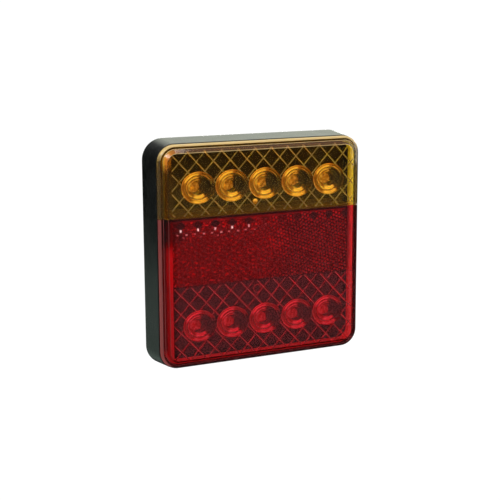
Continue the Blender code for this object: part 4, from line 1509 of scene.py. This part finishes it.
# ---- stage, world, lights and camera -----------------------------------------------------
def make_floor():
    """Paper that only bounces light; the camera does not see it."""
    half = 3000.0
    z = cad_lo.z / MM - 0.02
    n = material_nodes("floor_paper")
    paper = n.mix(n.noise(0.01, detail=2.0).spread(0.0, 1.0),
                  (0.93, 0.93, 0.93), (0.95, 0.95, 0.95))
    mat = n.finish(n.principled(Base_Color=paper, Roughness=0.8))
    bm = bmesh.new()
    corners = ((-half, -half), (half, -half), (half, half), (-half, half))
    bm.faces.new([bm.verts.new((x * MM, y * MM, z * MM)) for x, y in corners])
    floor = to_object("floor", bm, [mat], smooth=None)
    floor.visible_glossy = False
    floor.visible_transmission = False
    floor.visible_camera = False


# Surroundings as (height, from 0 straight down to 1 straight up; colour) stops.
FRONT_SKY = ((0.0, (0.03, 0.03, 0.03)), (0.50, (0.02, 0.02, 0.02)), (0.58, (0.05, 0.05, 0.05)),
             (0.75, (0.50, 0.50, 0.50)), (1.0, (0.8, 0.8, 0.8)))
REAR_RIGHT_SKY = ((0.0, (0.02, 0.022, 0.022)), (0.50, (0.03, 0.03, 0.03)),
                  (0.53, (0.95, 1.02, 0.86)), (0.62, (1.15, 1.22, 1.02)), (1.0, (0.9, 0.9, 0.9)))
REAR_LEFT_SKY = ((0.0, (0.26, 0.34, 0.29)), (0.392, (0.26, 0.34, 0.29)),
                 (0.400, (0.010, 0.010, 0.010)), (0.56, (0.015, 0.015, 0.015)),
                 (0.70, (0.06, 0.06, 0.06)), (1.0, (0.8, 0.8, 0.8)))


def make_world():
    """White for the camera; graded surroundings for every other ray."""
    world = bpy.data.worlds.new("studio")
    bpy.context.scene.world = world
    n = Nodes(world, "ShaderNodeOutputWorld")
    x, y, z = n.split(n.add("ShaderNodeTexCoord").outputs["Generated"])
    height = z.ramp((-1.0, 0.0), (1.0, 1.0))

    def sky(stops):
        node = n.add("ShaderNodeValToRGB", Fac=height)
        elements = node.color_ramp.elements
        for k, (position, colour) in enumerate(stops):
            element = elements[k] if k < 2 else elements.new(position)
            element.position = position
            element.color = (*colour, 1)
        return node.outputs[0]

    leftward = x.ramp((0.16, 0.0), (-0.06, 1.0))
    rear = n.mix(leftward, sky(REAR_RIGHT_SKY), sky(REAR_LEFT_SKY))
    surroundings = n.mix(y.ramp((-0.1, 0.0), (0.25, 1.0)), sky(FRONT_SKY), rear)
    soft = n.shader("ShaderNodeBackground", Color=surroundings, Strength=0.9)
    white = n.shader("ShaderNodeBackground", Color=(1, 1, 1, 1), Strength=1.05)
    camera_ray = n.add("ShaderNodeLightPath").outputs["Is Camera Ray"]
    n.finish(n.blend(camera_ray, soft, white))


def area(name, at, size, power, shine=1.0):
    """An area light aimed at the origin; at and size are in metres, power in watts."""
    data = bpy.data.lights.new(name, "AREA")
    data.shape = "RECTANGLE"
    data.size, data.size_y = size
    data.energy = power
    data.specular_factor = shine
    obj = bpy.data.objects.new(name, data)
    bpy.context.scene.collection.objects.link(obj)
    obj.location = at
    obj.rotation_euler = (-Vector(at)).to_track_quat("-Z", "Y").to_euler()


def make_camera():
    """A long lens, to the left of the lamp's front and a little above it."""
    azimuth, elevation, roll = (math.radians(a) for a in (25.1745, 11.4533, -0.2208))
    reach, off_right, off_up = 517.937, -1.2471, 2.6227   # of the origin, from the camera
    forward = Vector((math.sin(azimuth) * math.cos(elevation),
                      math.cos(azimuth) * math.cos(elevation), -math.sin(elevation)))
    level = Vector((math.cos(azimuth), -math.sin(azimuth), 0.0))
    upright = level.cross(forward)
    right = level * math.cos(roll) + upright * math.sin(roll)
    up = upright * math.cos(roll) - level * math.sin(roll)
    data = bpy.data.cameras.new("camera")
    data.sensor_width, data.lens = 36.0, 82.0835064
    data.clip_start, data.clip_end = 0.02, 20.0
    camera = bpy.data.objects.new("camera", data)
    bpy.context.scene.collection.objects.link(camera)
    spot = -(right * off_right + up * off_up + forward * reach)
    turn = Matrix((right, up, -forward)).transposed().to_4x4()
    camera.matrix_world = Matrix.Translation(spot * MM) @ turn
    bpy.context.scene.camera = camera


make_floor()
make_world()
area("key", at=(-0.75, -0.9, 0.95), size=(0.7, 0.7), power=24.0, shine=0.6)
area("top", at=(0.15, 0.25, 1.3), size=(1.2, 1.0), power=20.0, shine=0.25)
area("fill", at=(1.1, -0.9, 0.25), size=(0.8, 0.8), power=8.0)
area("rear", at=(0.55, 1.25, -0.12), size=(0.9, 0.3), power=14.0)
make_camera()
bpy.context.scene.view_settings.view_transform = "Standard"
